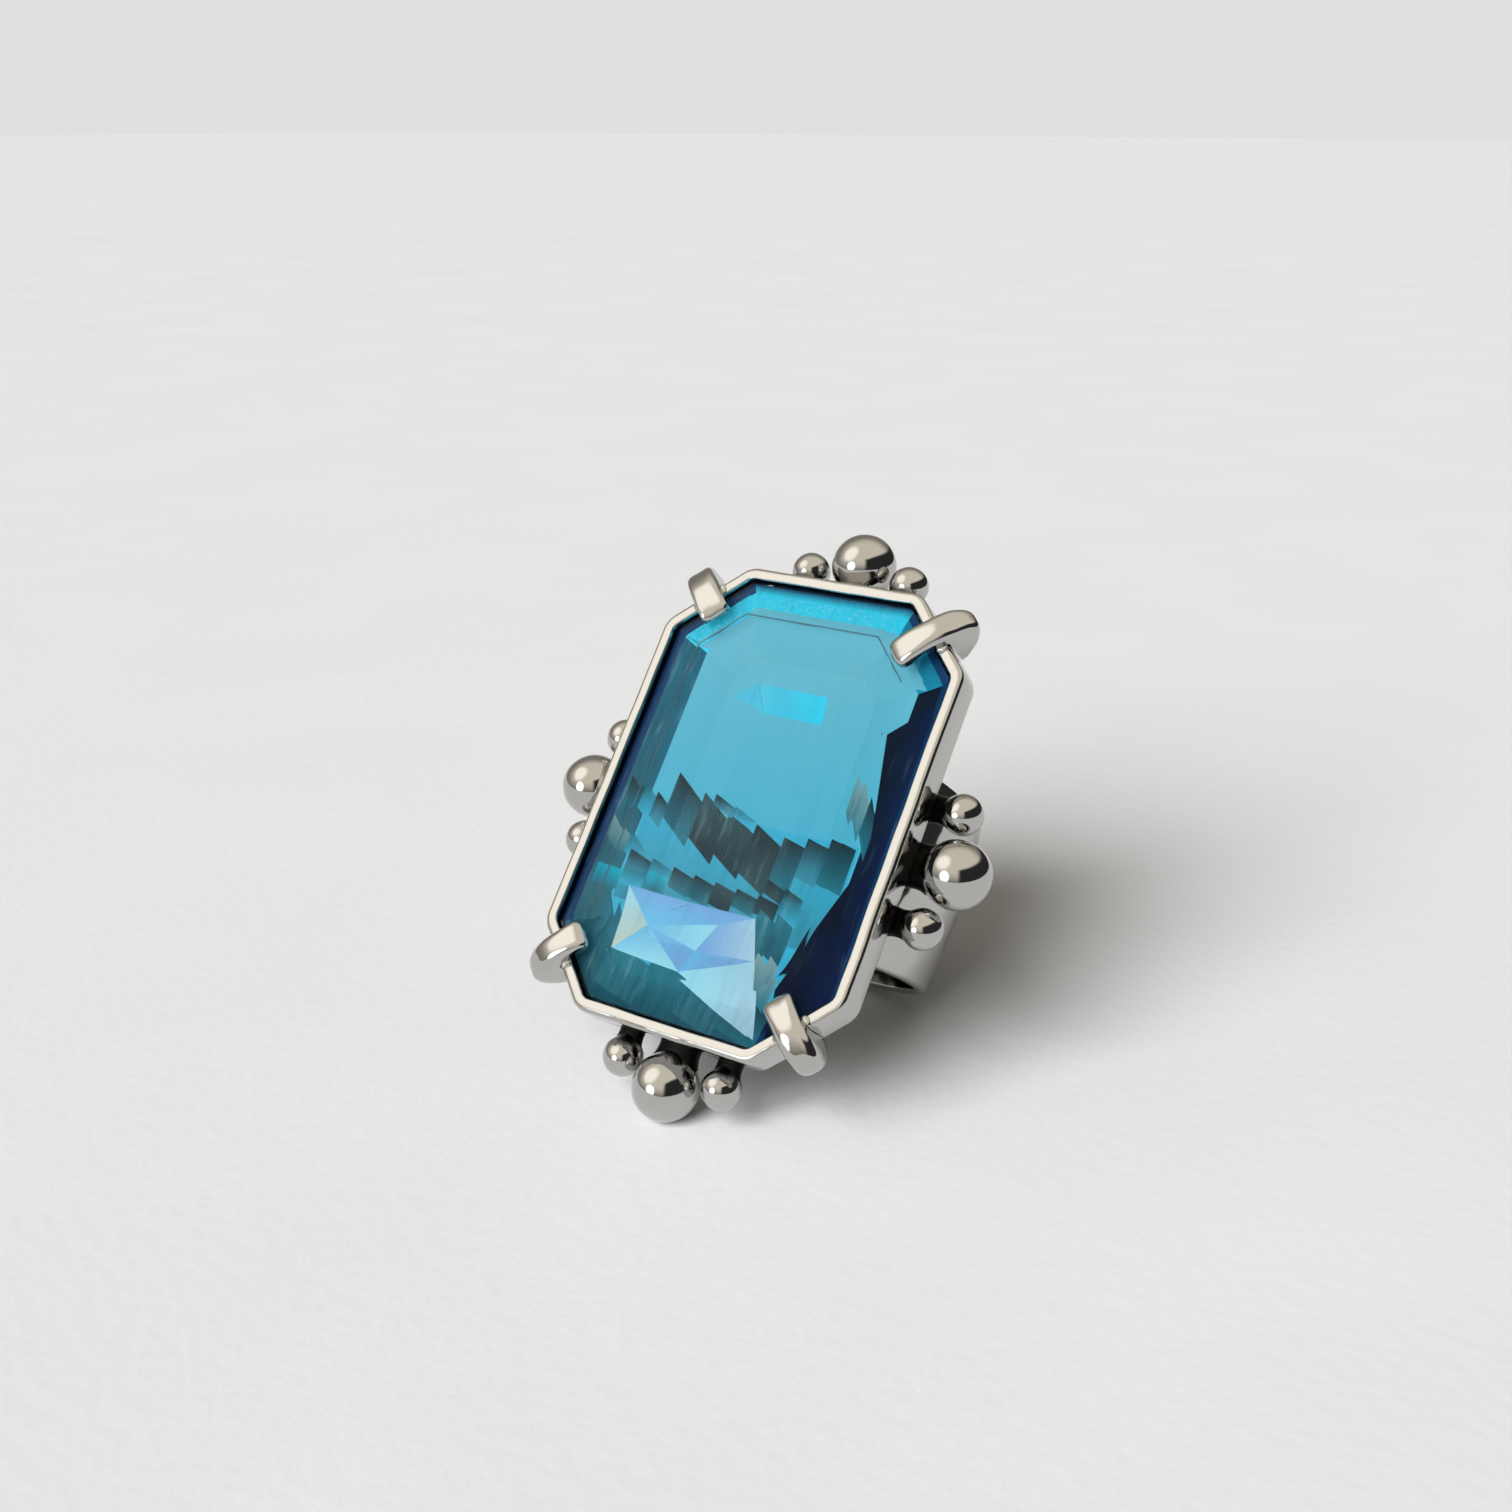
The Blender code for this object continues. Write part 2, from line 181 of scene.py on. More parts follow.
def speckle(tree, scale, detail=3.0, stretch=None):
    """Noise on the object's own coordinates, as a value from 0 to 1."""
    place = Wire.node(tree, "ShaderNodeTexCoord", output="Object")
    if stretch:
        place = Wire.node(tree, "ShaderNodeMapping", {},
                          {"Vector": place, "Rotation": (LEAN, 0, 0), "Scale": stretch})
    return Wire.node(tree, "ShaderNodeTexNoise", {}, {"Vector": place, "Scale": scale, "Detail": detail})


def new_material(name):
    """A node material; returns it with its tree and its Principled shader."""
    material = bpy.data.materials.new(name)
    material.use_nodes = True
    tree = material.node_tree
    return material, tree, tree.nodes["Principled BSDF"]


def feed(tree, shader, **wires):
    """Link wires to a shader's sockets; the underscores in the names stand for spaces."""
    for name, wire in wires.items():
        tree.links.new(wire.socket, shader.inputs[name.replace("_", " ")])


print("mid grey on a screen is", round(linear(128, 128, 128)[0], 3), "in a shader")

# %% [markdown]
# Polished metal has almost no colour of its own: it shows its surroundings. So the room matters as
# much as the metal. The reflections on the real ring tell what it was like: cream walls above and in
# front, lightest at the upper left, a bright window to the left, and an unlit corner at the camera's
# right. The world's shader paints those softly by direction, for the metal to mirror. Each pair of
# fade limits gives two cosines of the angle to an aim, and the paint changes between them. The unlit
# corner's upper limit also slopes.

# %% Room
CREAM = linear(255, 247, 228)
LIT_CREAM = (1.75, 1.66, 1.5)
ROOM_SHADE = linear(120, 118, 116)
UNLIT = linear(54, 53, 55)
WINDOW_WHITE = (2.6, 2.7, 2.8)
BACK_SHADE = linear(150, 144, 136)
WALL_FADE = (-0.15, 0.55)
BACK_FADE = (0.1, -0.6)
CORNER_SIDE_FADE = (-0.15, 0.1)
CORNER_TOP_FADE = (0.4, 0.25)
CORNER_SLOPE = 0.3
LIT_WALL_FADE = (0.88, 0.975)
WINDOW_FADE = (0.955, 0.975)

camera_right = Vector((math.cos(CAMERA_AZIMUTH), math.sin(CAMERA_AZIMUTH), 0))
camera_up = camera_back.cross(camera_right)


def seen_direction(right, up, back):
    """A world direction given along the camera's right, its up and back towards it."""
    return (camera_right * right + camera_up * up + camera_back * back).normalized()


world = bpy.data.worlds.new("room")
bpy.context.scene.world = world
world.use_nodes = True
room = world.node_tree
direction = Wire.node(room, "ShaderNodeTexCoord")


def towards(aim):
    """The cosine between the looked-up direction and an aim."""
    return Wire.node(room, "ShaderNodeVectorMath", {"operation": "DOT_PRODUCT"}, {0: direction, 1: aim}, 1)


walls = mix(fade(towards(Vector((0, 0, 1))), *WALL_FADE), ROOM_SHADE, CREAM)
walls = mix(fade(towards(camera_back), *BACK_FADE), walls, BACK_SHADE)
beside = towards(camera_right)
above_corner = towards(camera_up) - beside * CORNER_SLOPE
unlit_corner = fade(beside, *CORNER_SIDE_FADE) * fade(above_corner, *CORNER_TOP_FADE)
walls = mix(unlit_corner, walls, UNLIT)
lit_wall = seen_direction(-0.69, 0.63, 0.35)
walls = mix(fade(towards(lit_wall), *LIT_WALL_FADE), walls, LIT_CREAM)
window = seen_direction(-0.76, -0.02, 0.64)
walls = mix(fade(towards(window), *WINDOW_FADE), walls, WINDOW_WHITE)
print("room painted with", len(room.nodes), "nodes")

# %% [markdown]
# What is seen straight or through glass is a plain backdrop, as pale as the walls, and the metal
# mirrors that backdrop too where it lies behind the ring. Matt surfaces get only a share of the room's
# light, so that the lamp's shadow stays. The lamp is broad and soft, at the left, above and in front,
# and the painted window stands for it in reflections.

# %% Backdrop and lamp
BACKDROP = linear(223, 224, 224)
BACKDROP_FADE = (-0.8, -0.95)
FILL_LIGHT = 0.25
LAMP_ANGLE = math.radians(40)
LAMP_ENERGY = 4.6


def ray_is(kind):
    """1 for the rays of one kind and 0 for all others."""
    return Wire.node(room, "ShaderNodeLightPath", output=f"Is {kind} Ray")


behind_ring = fade(towards(camera_back), *BACKDROP_FADE)
shows_backdrop = ray_is("Camera") + ray_is("Transmission") + ray_is("Glossy") * behind_ring
walls = mix(shows_backdrop, walls, BACKDROP)
strength = 1 - ray_is("Diffuse") * (1 - FILL_LIGHT)
background = room.nodes["Background"]
feed(room, background, Color=walls, Strength=strength)

lamp = bpy.data.objects.new("window_lamp", bpy.data.lights.new("window_lamp", "SUN"))
lamp.data.angle = LAMP_ANGLE
lamp.data.energy = LAMP_ENERGY
lamp.rotation_mode = "QUATERNION"
lamp.rotation_quaternion = seen_direction(-0.5, 0.3, 0.81).to_track_quat("Z", "Y")
lamp.visible_glossy = False
bpy.context.scene.collection.objects.link(lamp)
bpy.context.scene.view_settings.view_transform = "Standard"
print("backdrop and lamp set")

# %% [markdown]
# The ring lies on a pale matt surface, wide enough that its far edge is lost in the backdrop. Two
# close tones and a fine grain keep it from looking like paper.

# %% Floor
FLOOR_HALF = 4.0
FLOOR_TONE = linear(222, 223, 225)
PALE_FLOOR_TONE = linear(230, 231, 233)
BLOTCH_SCALE = 40
GRAIN_SCALE = 900
GRAIN_DEPTH = 0.0002

floor_builder = bmesh.new()
bmesh.ops.create_grid(floor_builder, x_segments=1, y_segments=1, size=FLOOR_HALF)
floor_mesh = bpy.data.meshes.new("floor")
floor_builder.to_mesh(floor_mesh)
floor_builder.free()
floor_material, floor_tree, floor_shader = new_material("pale_plaster")
floor_shader.inputs["Roughness"].default_value = 0.9
floor_shader.inputs["Specular IOR Level"].default_value = 0.1
floor_colour = mix(speckle(floor_tree, BLOTCH_SCALE, 5), FLOOR_TONE, PALE_FLOOR_TONE)
grain = Wire.node(floor_tree, "ShaderNodeBump", {}, {
    "Strength": 0.15, "Distance": GRAIN_DEPTH, "Height": speckle(floor_tree, GRAIN_SCALE, 4),
})
feed(floor_tree, floor_shader, Base_Color=floor_colour, Normal=grain)
floor_mesh.materials.append(floor_material)
floor = bpy.data.objects.new("floor", floor_mesh)
bpy.context.scene.collection.objects.link(floor)
print("floor laid")

# %% [markdown]
# Silver that is polished after blackening stays dark where the buff can't reach: round the pegs,
# behind the balls and under the rim. The same darkening is also painted shade, where the balls, pegs and
# wall shade one another and below the head. Each piece gets a number on its points, called its tarnish
# and shade, and on most of them it grows towards the nearest peg. The metal's shader turns it into a
# darker and rougher surface, broken up by a little noise. Faint waves bend the reflections, as on the
# real castings. The rim was filed flat after the stone was set, so its waves are deeper.

# %% Metal finish
POLISHED = (0.5, 0.495, 0.48)
BLACKENED_AND_SHADED = (0.018, 0.017, 0.017)
PATCH_SCALE = 1500
PATCH_EFFECT = 0.5
PATCH_ROUGHNESS = 0.05
TARNISH_AND_SHADE_FADE = (0.35, 0.75)
TARNISH_AND_SHADE_ROUGHNESS = 0.3
WAVE_SCALE = 420
RUB_SCALE = 5200
RUB_SHARE = 0.04


def silver_finish(name, wave_depth, polish_roughness):
    material, tree, shader = new_material(name)
    shader.inputs["Metallic"].default_value = 1.0
    tarnish_and_shade = Wire.node(tree, "ShaderNodeAttribute", {"attribute_name": "tarnish_and_shade"}, output="Fac")
    patches = speckle(tree, PATCH_SCALE, 4)
    # Darker towards the pegs: blackened silver, and painted shade where the parts shade one another.
    dark = fade(tarnish_and_shade + (patches - 0.5) * PATCH_EFFECT, *TARNISH_AND_SHADE_FADE)
    waves = speckle(tree, WAVE_SCALE, 2)
    rubbed = speckle(tree, RUB_SCALE, 3)
    relief = waves + rubbed * RUB_SHARE + dark * patches
    bump = Wire.node(tree, "ShaderNodeBump", {}, {"Strength": 1.0, "Distance": wave_depth, "Height": relief})
    roughness = patches * PATCH_ROUGHNESS + dark * TARNISH_AND_SHADE_ROUGHNESS + polish_roughness
    feed(tree, shader, Base_Color=mix(dark, POLISHED, BLACKENED_AND_SHADED), Roughness=roughness, Normal=bump)
    return material


silver = silver_finish("polished_silver", wave_depth=0.00002, polish_roughness=0.035)
filed_silver = silver_finish("filed_silver", wave_depth=0.00006, polish_roughness=0.06)
print("metal finishes mixed:", silver.name, "and", filed_silver.name)

# %% [markdown]
# Every piece ends the same way: its normals are made to point out, its tarnish and painted shade are
# written on its points, HEAD puts it in place, it is parented to the root body and takes its finish, and
# the imported nodes that it stands for are hidden.

# %% Placing a piece
MERGE_DISTANCE = 0.0005
RECESS_REACH = 2.8

pegs = [name for name in frame["nodes"] if name.startswith("post_")]


def middle_of(name):
    """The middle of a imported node's box, in the head's frame."""
    low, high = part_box(name)
    return TO_HEAD @ ((low + high) / 2)


peg_roots = [middle_of(name) for name in pegs]


def recess(point):
    """How deep in a recess round the nearest peg a point lies, from 0 to 1."""
    nearest = min((point - root).length for root in peg_roots)
    return max(0.0, 1 - nearest / RECESS_REACH)


def clean(point):
    """The tarnish and painted shade of a piece that has none."""
    return 0.0


def place_piece(name, builder, material, nodes, tarnish_and_shade=recess, sharp=35):
    """Turn a bmesh modelled in the head's frame into a finished piece of the ring."""
    bmesh.ops.remove_doubles(builder, verts=builder.verts[:], dist=MERGE_DISTANCE)
    bmesh.ops.recalc_face_normals(builder, faces=builder.faces[:])
    mesh = bpy.data.meshes.new(name)
    builder.to_mesh(mesh)
    builder.free()
    marks = mesh.attributes.new("tarnish_and_shade", "FLOAT", "POINT")
    for vertex in mesh.vertices:
        marks.data[vertex.index].value = tarnish_and_shade(vertex.co)
    mesh.transform(HEAD)
    mesh.shade_smooth()
    mesh.set_sharp_from_angle(angle=math.radians(sharp))
    mesh.materials.append(material)
    piece = bpy.data.objects.new(name, mesh)
    bpy.context.scene.collection.objects.link(piece)
    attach(piece, "root")
    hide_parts(*nodes)
    print(name, "has", len(mesh.polygons), "faces")
    return piece


def wobble(builder, depth, scale, verts=None):
    """Push points about by smooth noise, for the slight unevenness of hand work."""
    for vert in verts or builder.verts[:]:
        vert.co += noise.noise_vector(vert.co * scale) * depth


print("pegs that collect tarnish:", len(pegs))

# %% [markdown]
# The whole head follows one outline: a rectangle with its corners cut. Bevelling the four corners of
# a plain quad makes it, and a second, smaller bevel rounds the eight new corners. Every later piece
# uses the same sheet at its own distance outside or inside the stone's edge.

# %% The cut-corner outline
STONE_WIDTH = 20.6
STONE_LENGTH = 29.5
STONE_CORNER = 4.27
CORNER_SEGMENTS = 5
HALF_CORNER_TURN = math.radians(22.5)
NEAR = 0.01


def corner_leg(offset):
    """How much of each side the cut corner takes, on the outline moved outwards by offset."""
    return STONE_CORNER + offset * (2 - math.sqrt(2))


def cut_corner_sheet(builder, offset, level, rounding=0.0):
    """One flat face of the head's outline, moved outwards by offset; its normal points up."""
    quad = bmesh.ops.create_grid(builder, x_segments=1, y_segments=1, size=0.5)["verts"]
    size = (STONE_WIDTH + 2 * offset, STONE_LENGTH + 2 * offset, 1)
    bmesh.ops.scale(builder, vec=size, verts=quad)
    bmesh.ops.translate(builder, vec=(0, 0, level), verts=quad)
    made = bmesh.ops.bevel(
        builder, geom=quad, offset=corner_leg(offset), offset_type="ABSOLUTE", segments=1, profile=0.5,
        affect="VERTICES", material=-1,
    )
    if rounding:
        bmesh.ops.bevel(
            builder, geom=made["verts"], offset=rounding * math.tan(HALF_CORNER_TURN),
            offset_type="ABSOLUTE", segments=CORNER_SEGMENTS, profile=0.5, affect="VERTICES", material=-1,
        )
    return max(builder.faces, key=lambda face: face.calc_area())


def edges_between(builder, test):
    """The edges whose two ends both pass a test."""
    return [edge for edge in builder.edges if all(test(vert.co) for vert in edge.verts)]


def extrude_by(builder, faces, height):
    """Extrude faces and move the new ones up by a height, or down where it is negative."""
    made = bmesh.ops.extrude_face_region(builder, geom=faces)["geom"]
    moved = [item for item in made if isinstance(item, bmesh.types.BMVert)]
    bmesh.ops.translate(builder, vec=(0, 0, height), verts=moved)


print("stone outline in mm:", STONE_WIDTH, "by", STONE_LENGTH)

# %% [markdown]
# The bezel is a strip of metal bent round the stone and soldered shut. Its flat top is the bright rim
# of the photograph. Here the outline is inset to make the rim's width, the middle is thrown away, and
# the remaining ring is extruded down. Rounding the outer edge more than the inner one gives the thin
# dark line that the photograph shows beside the rim.

# %% Bezel wall
STONE_CLEARANCE = 0.1
RIM_WIDTH = 0.8
WALL_HEIGHT = 2.4
WALL_OUTSIDE = STONE_CLEARANCE + RIM_WIDTH
WALL_CORNER_ROUNDING = 1.4
OUTER_ROUNDING = 0.3
INNER_ROUNDING = 0.1
LONG_EDGE = 3
LONG_EDGE_CUTS = 24

wall = bmesh.new()
sheet = cut_corner_sheet(wall, WALL_OUTSIDE, 0, WALL_CORNER_ROUNDING)
bmesh.ops.inset_region(wall, faces=[sheet], thickness=RIM_WIDTH, use_boundary=True, use_even_offset=True)
middle = max(wall.faces, key=lambda face: face.calc_area())
bmesh.ops.delete(wall, geom=[middle], context="FACES_ONLY")
extrude_by(wall, wall.faces[:], -WALL_HEIGHT)
inner_half = (STONE_WIDTH / 2 + STONE_CLEARANCE, STONE_LENGTH / 2 + STONE_CLEARANCE)


def on_outer_side(point):
    """Whether a point of the wall lies outside the middle of the rim's width."""
    across = abs(point.x) - inner_half[0]
    along = abs(point.y) - inner_half[1]
    diagonal = (across + along + corner_leg(STONE_CLEARANCE)) / math.sqrt(2)
    return max(across, along, diagonal) > RIM_WIDTH / 2


outer_top = edges_between(wall, lambda point: point.z > -NEAR and on_outer_side(point))
inner_top = edges_between(wall, lambda point: point.z > -NEAR and not on_outer_side(point))
outer_bottom = edges_between(wall, lambda point: point.z < NEAR - WALL_HEIGHT and on_outer_side(point))
roundings = [(outer_top, OUTER_ROUNDING), (inner_top, INNER_ROUNDING), (outer_bottom, OUTER_ROUNDING)]
for rim_edges, rounding in roundings:
    bmesh.ops.bevel(
        wall, geom=[edge for edge in rim_edges if edge.is_valid], offset=rounding, segments=4, profile=0.5,
        affect="EDGES", material=-1,
    )
long_edges = [edge for edge in wall.edges if edge.calc_length() > LONG_EDGE]
bmesh.ops.subdivide_edges(wall, edges=long_edges, cuts=LONG_EDGE_CUTS, use_grid_fill=True)
wobble(wall, depth=0.05, scale=0.35)
place_piece("bezel_rim", wall, filed_silver, ["bezel_wall", "bearing_ledge"])

# %% [markdown]
# The closed back of the head is a tray under the wall. It is the same outline again: a short slab whose
# underside is inset while it is pushed down, which makes the tapered edge in one step. Two more insets
# sink the pocket that takes the stone's back.

# %% Base plate
BASE_TOP = -2.45
BASE_BOTTOM = -3.92
BASE_OUTSIDE = 0.45
BASE_TAPER = 1.05
BASE_CORNER_ROUNDING = 1.8
BASE_EDGE_ROUNDING = 0.25
BASE_FLOOR = 0.45
POCKET_INSET = 1.45
POCKET_DRAFT = 0.02
SLAB = 0.35
BASE_TARNISH_AND_SHADE = 0.5

base = bmesh.new()
sheet = cut_corner_sheet(base, BASE_OUTSIDE, BASE_TOP, BASE_CORNER_ROUNDING)
extrude_by(base, [sheet], -SLAB)
bmesh.ops.recalc_face_normals(base, faces=base.faces[:])
underside = min(base.faces, key=lambda face: face.calc_center_median().z)
bmesh.ops.inset_region(
    base, faces=[underside], thickness=BASE_TAPER, depth=BASE_TOP - SLAB - BASE_BOTTOM, use_even_offset=True
)
topside = max(base.faces, key=lambda face: face.calc_center_median().z)
bmesh.ops.inset_region(base, faces=[topside], thickness=POCKET_INSET, use_even_offset=True)
bmesh.ops.inset_region(
    base, faces=[topside], thickness=POCKET_DRAFT, depth=BASE_BOTTOM + BASE_FLOOR - BASE_TOP,
    use_even_offset=True,
)
bottom_edges = edges_between(base, lambda point: point.z < BASE_BOTTOM + NEAR)
bmesh.ops.bevel(
    base, geom=bottom_edges, offset=BASE_EDGE_ROUNDING, segments=4, profile=0.5, affect="EDGES", material=-1
)
# The tray darkens towards the pegs at half strength: blackened silver and painted shade.
place_piece("base_tray", base, silver, ["base_plate"],
            tarnish_and_shade=lambda point: BASE_TARNISH_AND_SHADE * recess(point))

# %% [markdown]
# The band is a thick strip with a domed outside and soft edges. Its section is a few points: a flat
# inside and a curved outside. Spinning that section round the finger's axis makes an even ring, which
# is then narrowed towards its back and cut flat where it is soldered under the head. Just below that
# cut the band is darker: painted shade under the head.

# %% Band
FINGER_RADIUS = 8.25
FINGER_CENTRE = -12.67
BAND_TOP = -3.97
BAND_THICKNESS = 1.2
BAND_EDGE = 0.75
BAND_WIDTH_AT_HEAD = 13.8
BAND_WIDTH_AT_BACK = 11.2
BAND_EDGE_ROUNDING = 0.36
BAND_STEPS = 144
DOME_POINTS = 11
# Painted shade under the head: where it starts below the band's top, how far it reaches, how dark it is.
UNDER_HEAD_SHADE_START = 0.3
UNDER_HEAD_SHADE_REACH = 1.2
UNDER_HEAD_SHADE = 0.45

band = bmesh.new()
section = []
for index in range(DOME_POINTS):
    across = -1 + 2 * index / (DOME_POINTS - 1)
    section.append((across, BAND_EDGE + (BAND_THICKNESS - BAND_EDGE) * (1 - across ** 2)))
section += [(1.0, 0.0), (-1.0, 0.0)]
corners = [band.verts.new((0, across, FINGER_CENTRE + FINGER_RADIUS + rise)) for across, rise in section]
band.faces.new(corners)
edge_corners = [corners[0], corners[DOME_POINTS - 1], corners[-2], corners[-1]]
for corner in band.verts:
    corner.co.y *= BAND_WIDTH_AT_HEAD / 2
bmesh.ops.bevel(
    band, geom=edge_corners, offset=BAND_EDGE_ROUNDING, offset_type="ABSOLUTE", segments=6, profile=0.5,
    affect="VERTICES", material=-1,
)
band_section = band.faces[:]
bmesh.ops.spin(
    band, geom=band_section + list(band_section[0].edges), cent=(0, 0, FINGER_CENTRE), axis=(0, 1, 0),
    angle=math.tau, steps=BAND_STEPS, use_merge=True,
)
bmesh.ops.remove_doubles(band, verts=band.verts[:], dist=0.001)
inner_caps = [face for face in band.faces if len(face.verts) > 4]
bmesh.ops.delete(band, geom=inner_caps, context="FACES_ONLY")
band_back = FINGER_CENTRE - FINGER_RADIUS - BAND_THICKNESS
for vert in band.verts:
    share = (vert.co.z - band_back) / (BAND_TOP - band_back)
    width = BAND_WIDTH_AT_BACK + (BAND_WIDTH_AT_HEAD - BAND_WIDTH_AT_BACK) * share
    vert.co.y *= width / BAND_WIDTH_AT_HEAD
everything = band.verts[:] + band.edges[:] + band.faces[:]
bmesh.ops.bisect_plane(
    band, geom=everything, plane_co=(0, 0, BAND_TOP), plane_no=(0, 0, 1), clear_outer=True
)
bmesh.ops.holes_fill(band, edges=[edge for edge in band.edges if edge.is_boundary], sides=0)
wobble(band, depth=0.03, scale=0.25)


def shade_under_head(point):
    """The painted shade on the band under the head, which ends a little below its soldered top."""
    return max(0.0, 1 - (BAND_TOP + UNDER_HEAD_SHADE_START - point.z) / UNDER_HEAD_SHADE_REACH) * UNDER_HEAD_SHADE


place_piece("finger_band", band, silver, ["shank"], tarnish_and_shade=shade_under_head)

# %% [markdown]
# The claws are half-round wires, soldered to the wall's outside and bent over the rim on to the stone.
# Each is a grid of points rolled into a wire: one way of the grid runs along the claw, the other round it.
# Its flat side follows the wall, the rim and the crown, and its back follows two joined ellipses. A
# higher dome power gives a squarer back. Both ends are filed round.

# %% Claw shape
CLAW_WIDTH = 2.0
CLAW_BULGE = 2.2
CLAW_TOP = 1.05
CLAW_BEND = -0.7
CLAW_FOOT = -2.6
CLAW_FOOT_ANGLE = math.radians(-65)
CLAW_RIM_ANGLE = math.radians(45)
CLAW_TIP_ANGLE = math.radians(128)
CLAW_TIP_LEVEL = 0.3
CLAW_CORE = 0.4
FILED_END = 0.06
SEAT_GAP = 0.05


def claw_spine(share, grip):
    """The seat and the back of a claw at a share of its length: (outwards from the wall, up)."""
    angle = CLAW_FOOT_ANGLE + (CLAW_TIP_ANGLE - CLAW_FOOT_ANGLE) * share
    spread = (CLAW_BULGE + grip) / (1 - math.cos(CLAW_TIP_ANGLE))
    height = CLAW_TOP - CLAW_BEND
    if angle < 0:
        height = (CLAW_BEND - CLAW_FOOT) / math.sin(-CLAW_FOOT_ANGLE)
    back = Vector((CLAW_BULGE - spread * (1 - math.cos(angle)), height * math.sin(angle) + CLAW_BEND))
    corner = Vector((SEAT_GAP, SEAT_GAP))
    if angle < CLAW_RIM_ANGLE:
        rise = (angle - CLAW_FOOT_ANGLE) / (CLAW_RIM_ANGLE - CLAW_FOOT_ANGLE)
        return Vector((SEAT_GAP, CLAW_FOOT)).lerp(corner, rise), back
    over = (angle - CLAW_RIM_ANGLE) / (CLAW_TIP_ANGLE - CLAW_RIM_ANGLE)
    return corner.lerp(Vector((-grip, CLAW_TIP_LEVEL)), over), back


def roll_claw(vert, grip, dome):
    """Move one point of the flat grid to its place on the claw, which stands on the X axis."""
    share = vert.co.x + 0.5
    around = math.tau * (vert.co.y + 0.5)
    to_end = min(share, 1 - share) / FILED_END
    filed = math.sqrt(1 - (1 - min(to_end, 1.0)) ** 2)
    seat, back = claw_spine(share, grip)
    side = -math.cos(around)
    rise = (1 - abs(side) ** dome) ** (1 / dome) if around < math.pi else 0.0
    middle = seat.lerp(back, CLAW_CORE)
    place = middle + (seat.lerp(back, rise) - middle) * filed
    vert.co = (place.x, side * CLAW_WIDTH / 2 * filed, place.y)


print("claw shape ready")

# %% [markdown]
# Each claw is rolled on the X axis and then carried to the middle of its cut corner. The solder has left
# a small lump on either side, where the claw crosses the rim. The claw at the top right grips further
# over the stone than the others, and the one at the bottom left sits a little to one side.

# %% Claws
SHORT_GRIP = 2.57
LONG_GRIP = 3.46
LOW_CLAW_SHIFT = -0.7
ROUND_BACK = 3.5
SQUARE_BACK = 6.0
CLAW_STATIONS = 48
CLAW_SIDES = 28
LUMP_RADIUS = 0.3
LUMP_SHAPE = Matrix.Diagonal((1.3, 1, 0.6, 1))
LUMP_SPREAD = 1.0
LUMP_TO_RIM = -0.45
CLAW_FOOT_DARKENING = 0.5
CLAW_DARK_FOOT_TOP = -2.3

CLAWS = {
    "claw_top_left": (-1, 1, 0.0, SHORT_GRIP, SQUARE_BACK),
    "claw_top_right": (1, 1, 0.0, LONG_GRIP, ROUND_BACK),
    "claw_bottom_left": (-1, -1, LOW_CLAW_SHIFT, SHORT_GRIP, ROUND_BACK),
    "claw_bottom_right": (1, -1, 0.0, SHORT_GRIP, ROUND_BACK),
}
to_corner = corner_leg(WALL_OUTSIDE) / 2
corner_x = STONE_WIDTH / 2 + WALL_OUTSIDE - to_corner
corner_y = STONE_LENGTH / 2 + WALL_OUTSIDE - to_corner

for name, (x_side, y_side, shift, grip, dome) in CLAWS.items():
    claw = bmesh.new()
    bmesh.ops.create_grid(claw, x_segments=CLAW_STATIONS, y_segments=CLAW_SIDES, size=0.5)
    for vert in claw.verts:
        roll_claw(vert, grip, dome)
    bmesh.ops.remove_doubles(claw, verts=claw.verts[:], dist=0.001)
    wobble(claw, depth=0.05, scale=0.9)
    for side in (-1, 1):
        lump_place = Matrix.Translation((LUMP_TO_RIM, side * LUMP_SPREAD, 0))
        lump = bmesh.ops.create_icosphere(
            claw, subdivisions=4, radius=LUMP_RADIUS, matrix=lump_place @ LUMP_SHAPE
        )
        wobble(claw, depth=0.06, scale=2.5, verts=lump["verts"])
    wall_face = Matrix.Translation((x_side * corner_x, y_side * corner_y, 0))
    turn = Matrix.Rotation(math.atan2(y_side, x_side), 4, "Z") @ Matrix.Translation((0, shift, 0))
    bmesh.ops.transform(claw, matrix=wall_face @ turn, verts=claw.verts[:])
    # The claw's lowest part, at the seam of wall and base, is darker.
    place_piece(f"{name}_wire", claw, silver, [name], sharp=50,
                tarnish_and_shade=lambda point: CLAW_FOOT_DARKENING if point.z < CLAW_DARK_FOOT_TOP else 0.0)

# %% [markdown]
# Each side carries a big ball between two small ones. They are cast shot, soldered on short pegs, so
# they aren't perfect: each is a sphere with a little unevenness, drawn out into a neck at its peg.

# %% Balls
NECK_START = 0.72
NECK_PULL = 0.35


def ball_radius(name):
    """The radius of a packed ball, in millimetres."""
    low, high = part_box(name)
    return (high.x - low.x) / 2 / MM


for name in sorted(node for node in frame["nodes"] if node.startswith("ball_")):
    centre = middle_of(name)
    to_peg = (middle_of(name.replace("ball_", "post_")) - centre).normalized()
    ball = bmesh.new()
    bmesh.ops.create_uvsphere(ball, u_segments=72, v_segments=48, radius=ball_radius(name))
    bmesh.ops.rotate(ball, verts=ball.verts[:], matrix=to_peg.to_track_quat("Z", "Y").to_matrix())
    bmesh.ops.translate(ball, verts=ball.verts[:], vec=centre)
    wobble(ball, depth=0.035, scale=0.6)
    for vert in ball.verts:
        facing = (vert.co - centre).normalized().dot(to_peg)
        if facing > NECK_START:
            vert.co += to_peg * NECK_PULL * ((facing - NECK_START) / (1 - NECK_START)) ** 2
    place_piece(f"{name}_shot", ball, silver, [name], sharp=180)

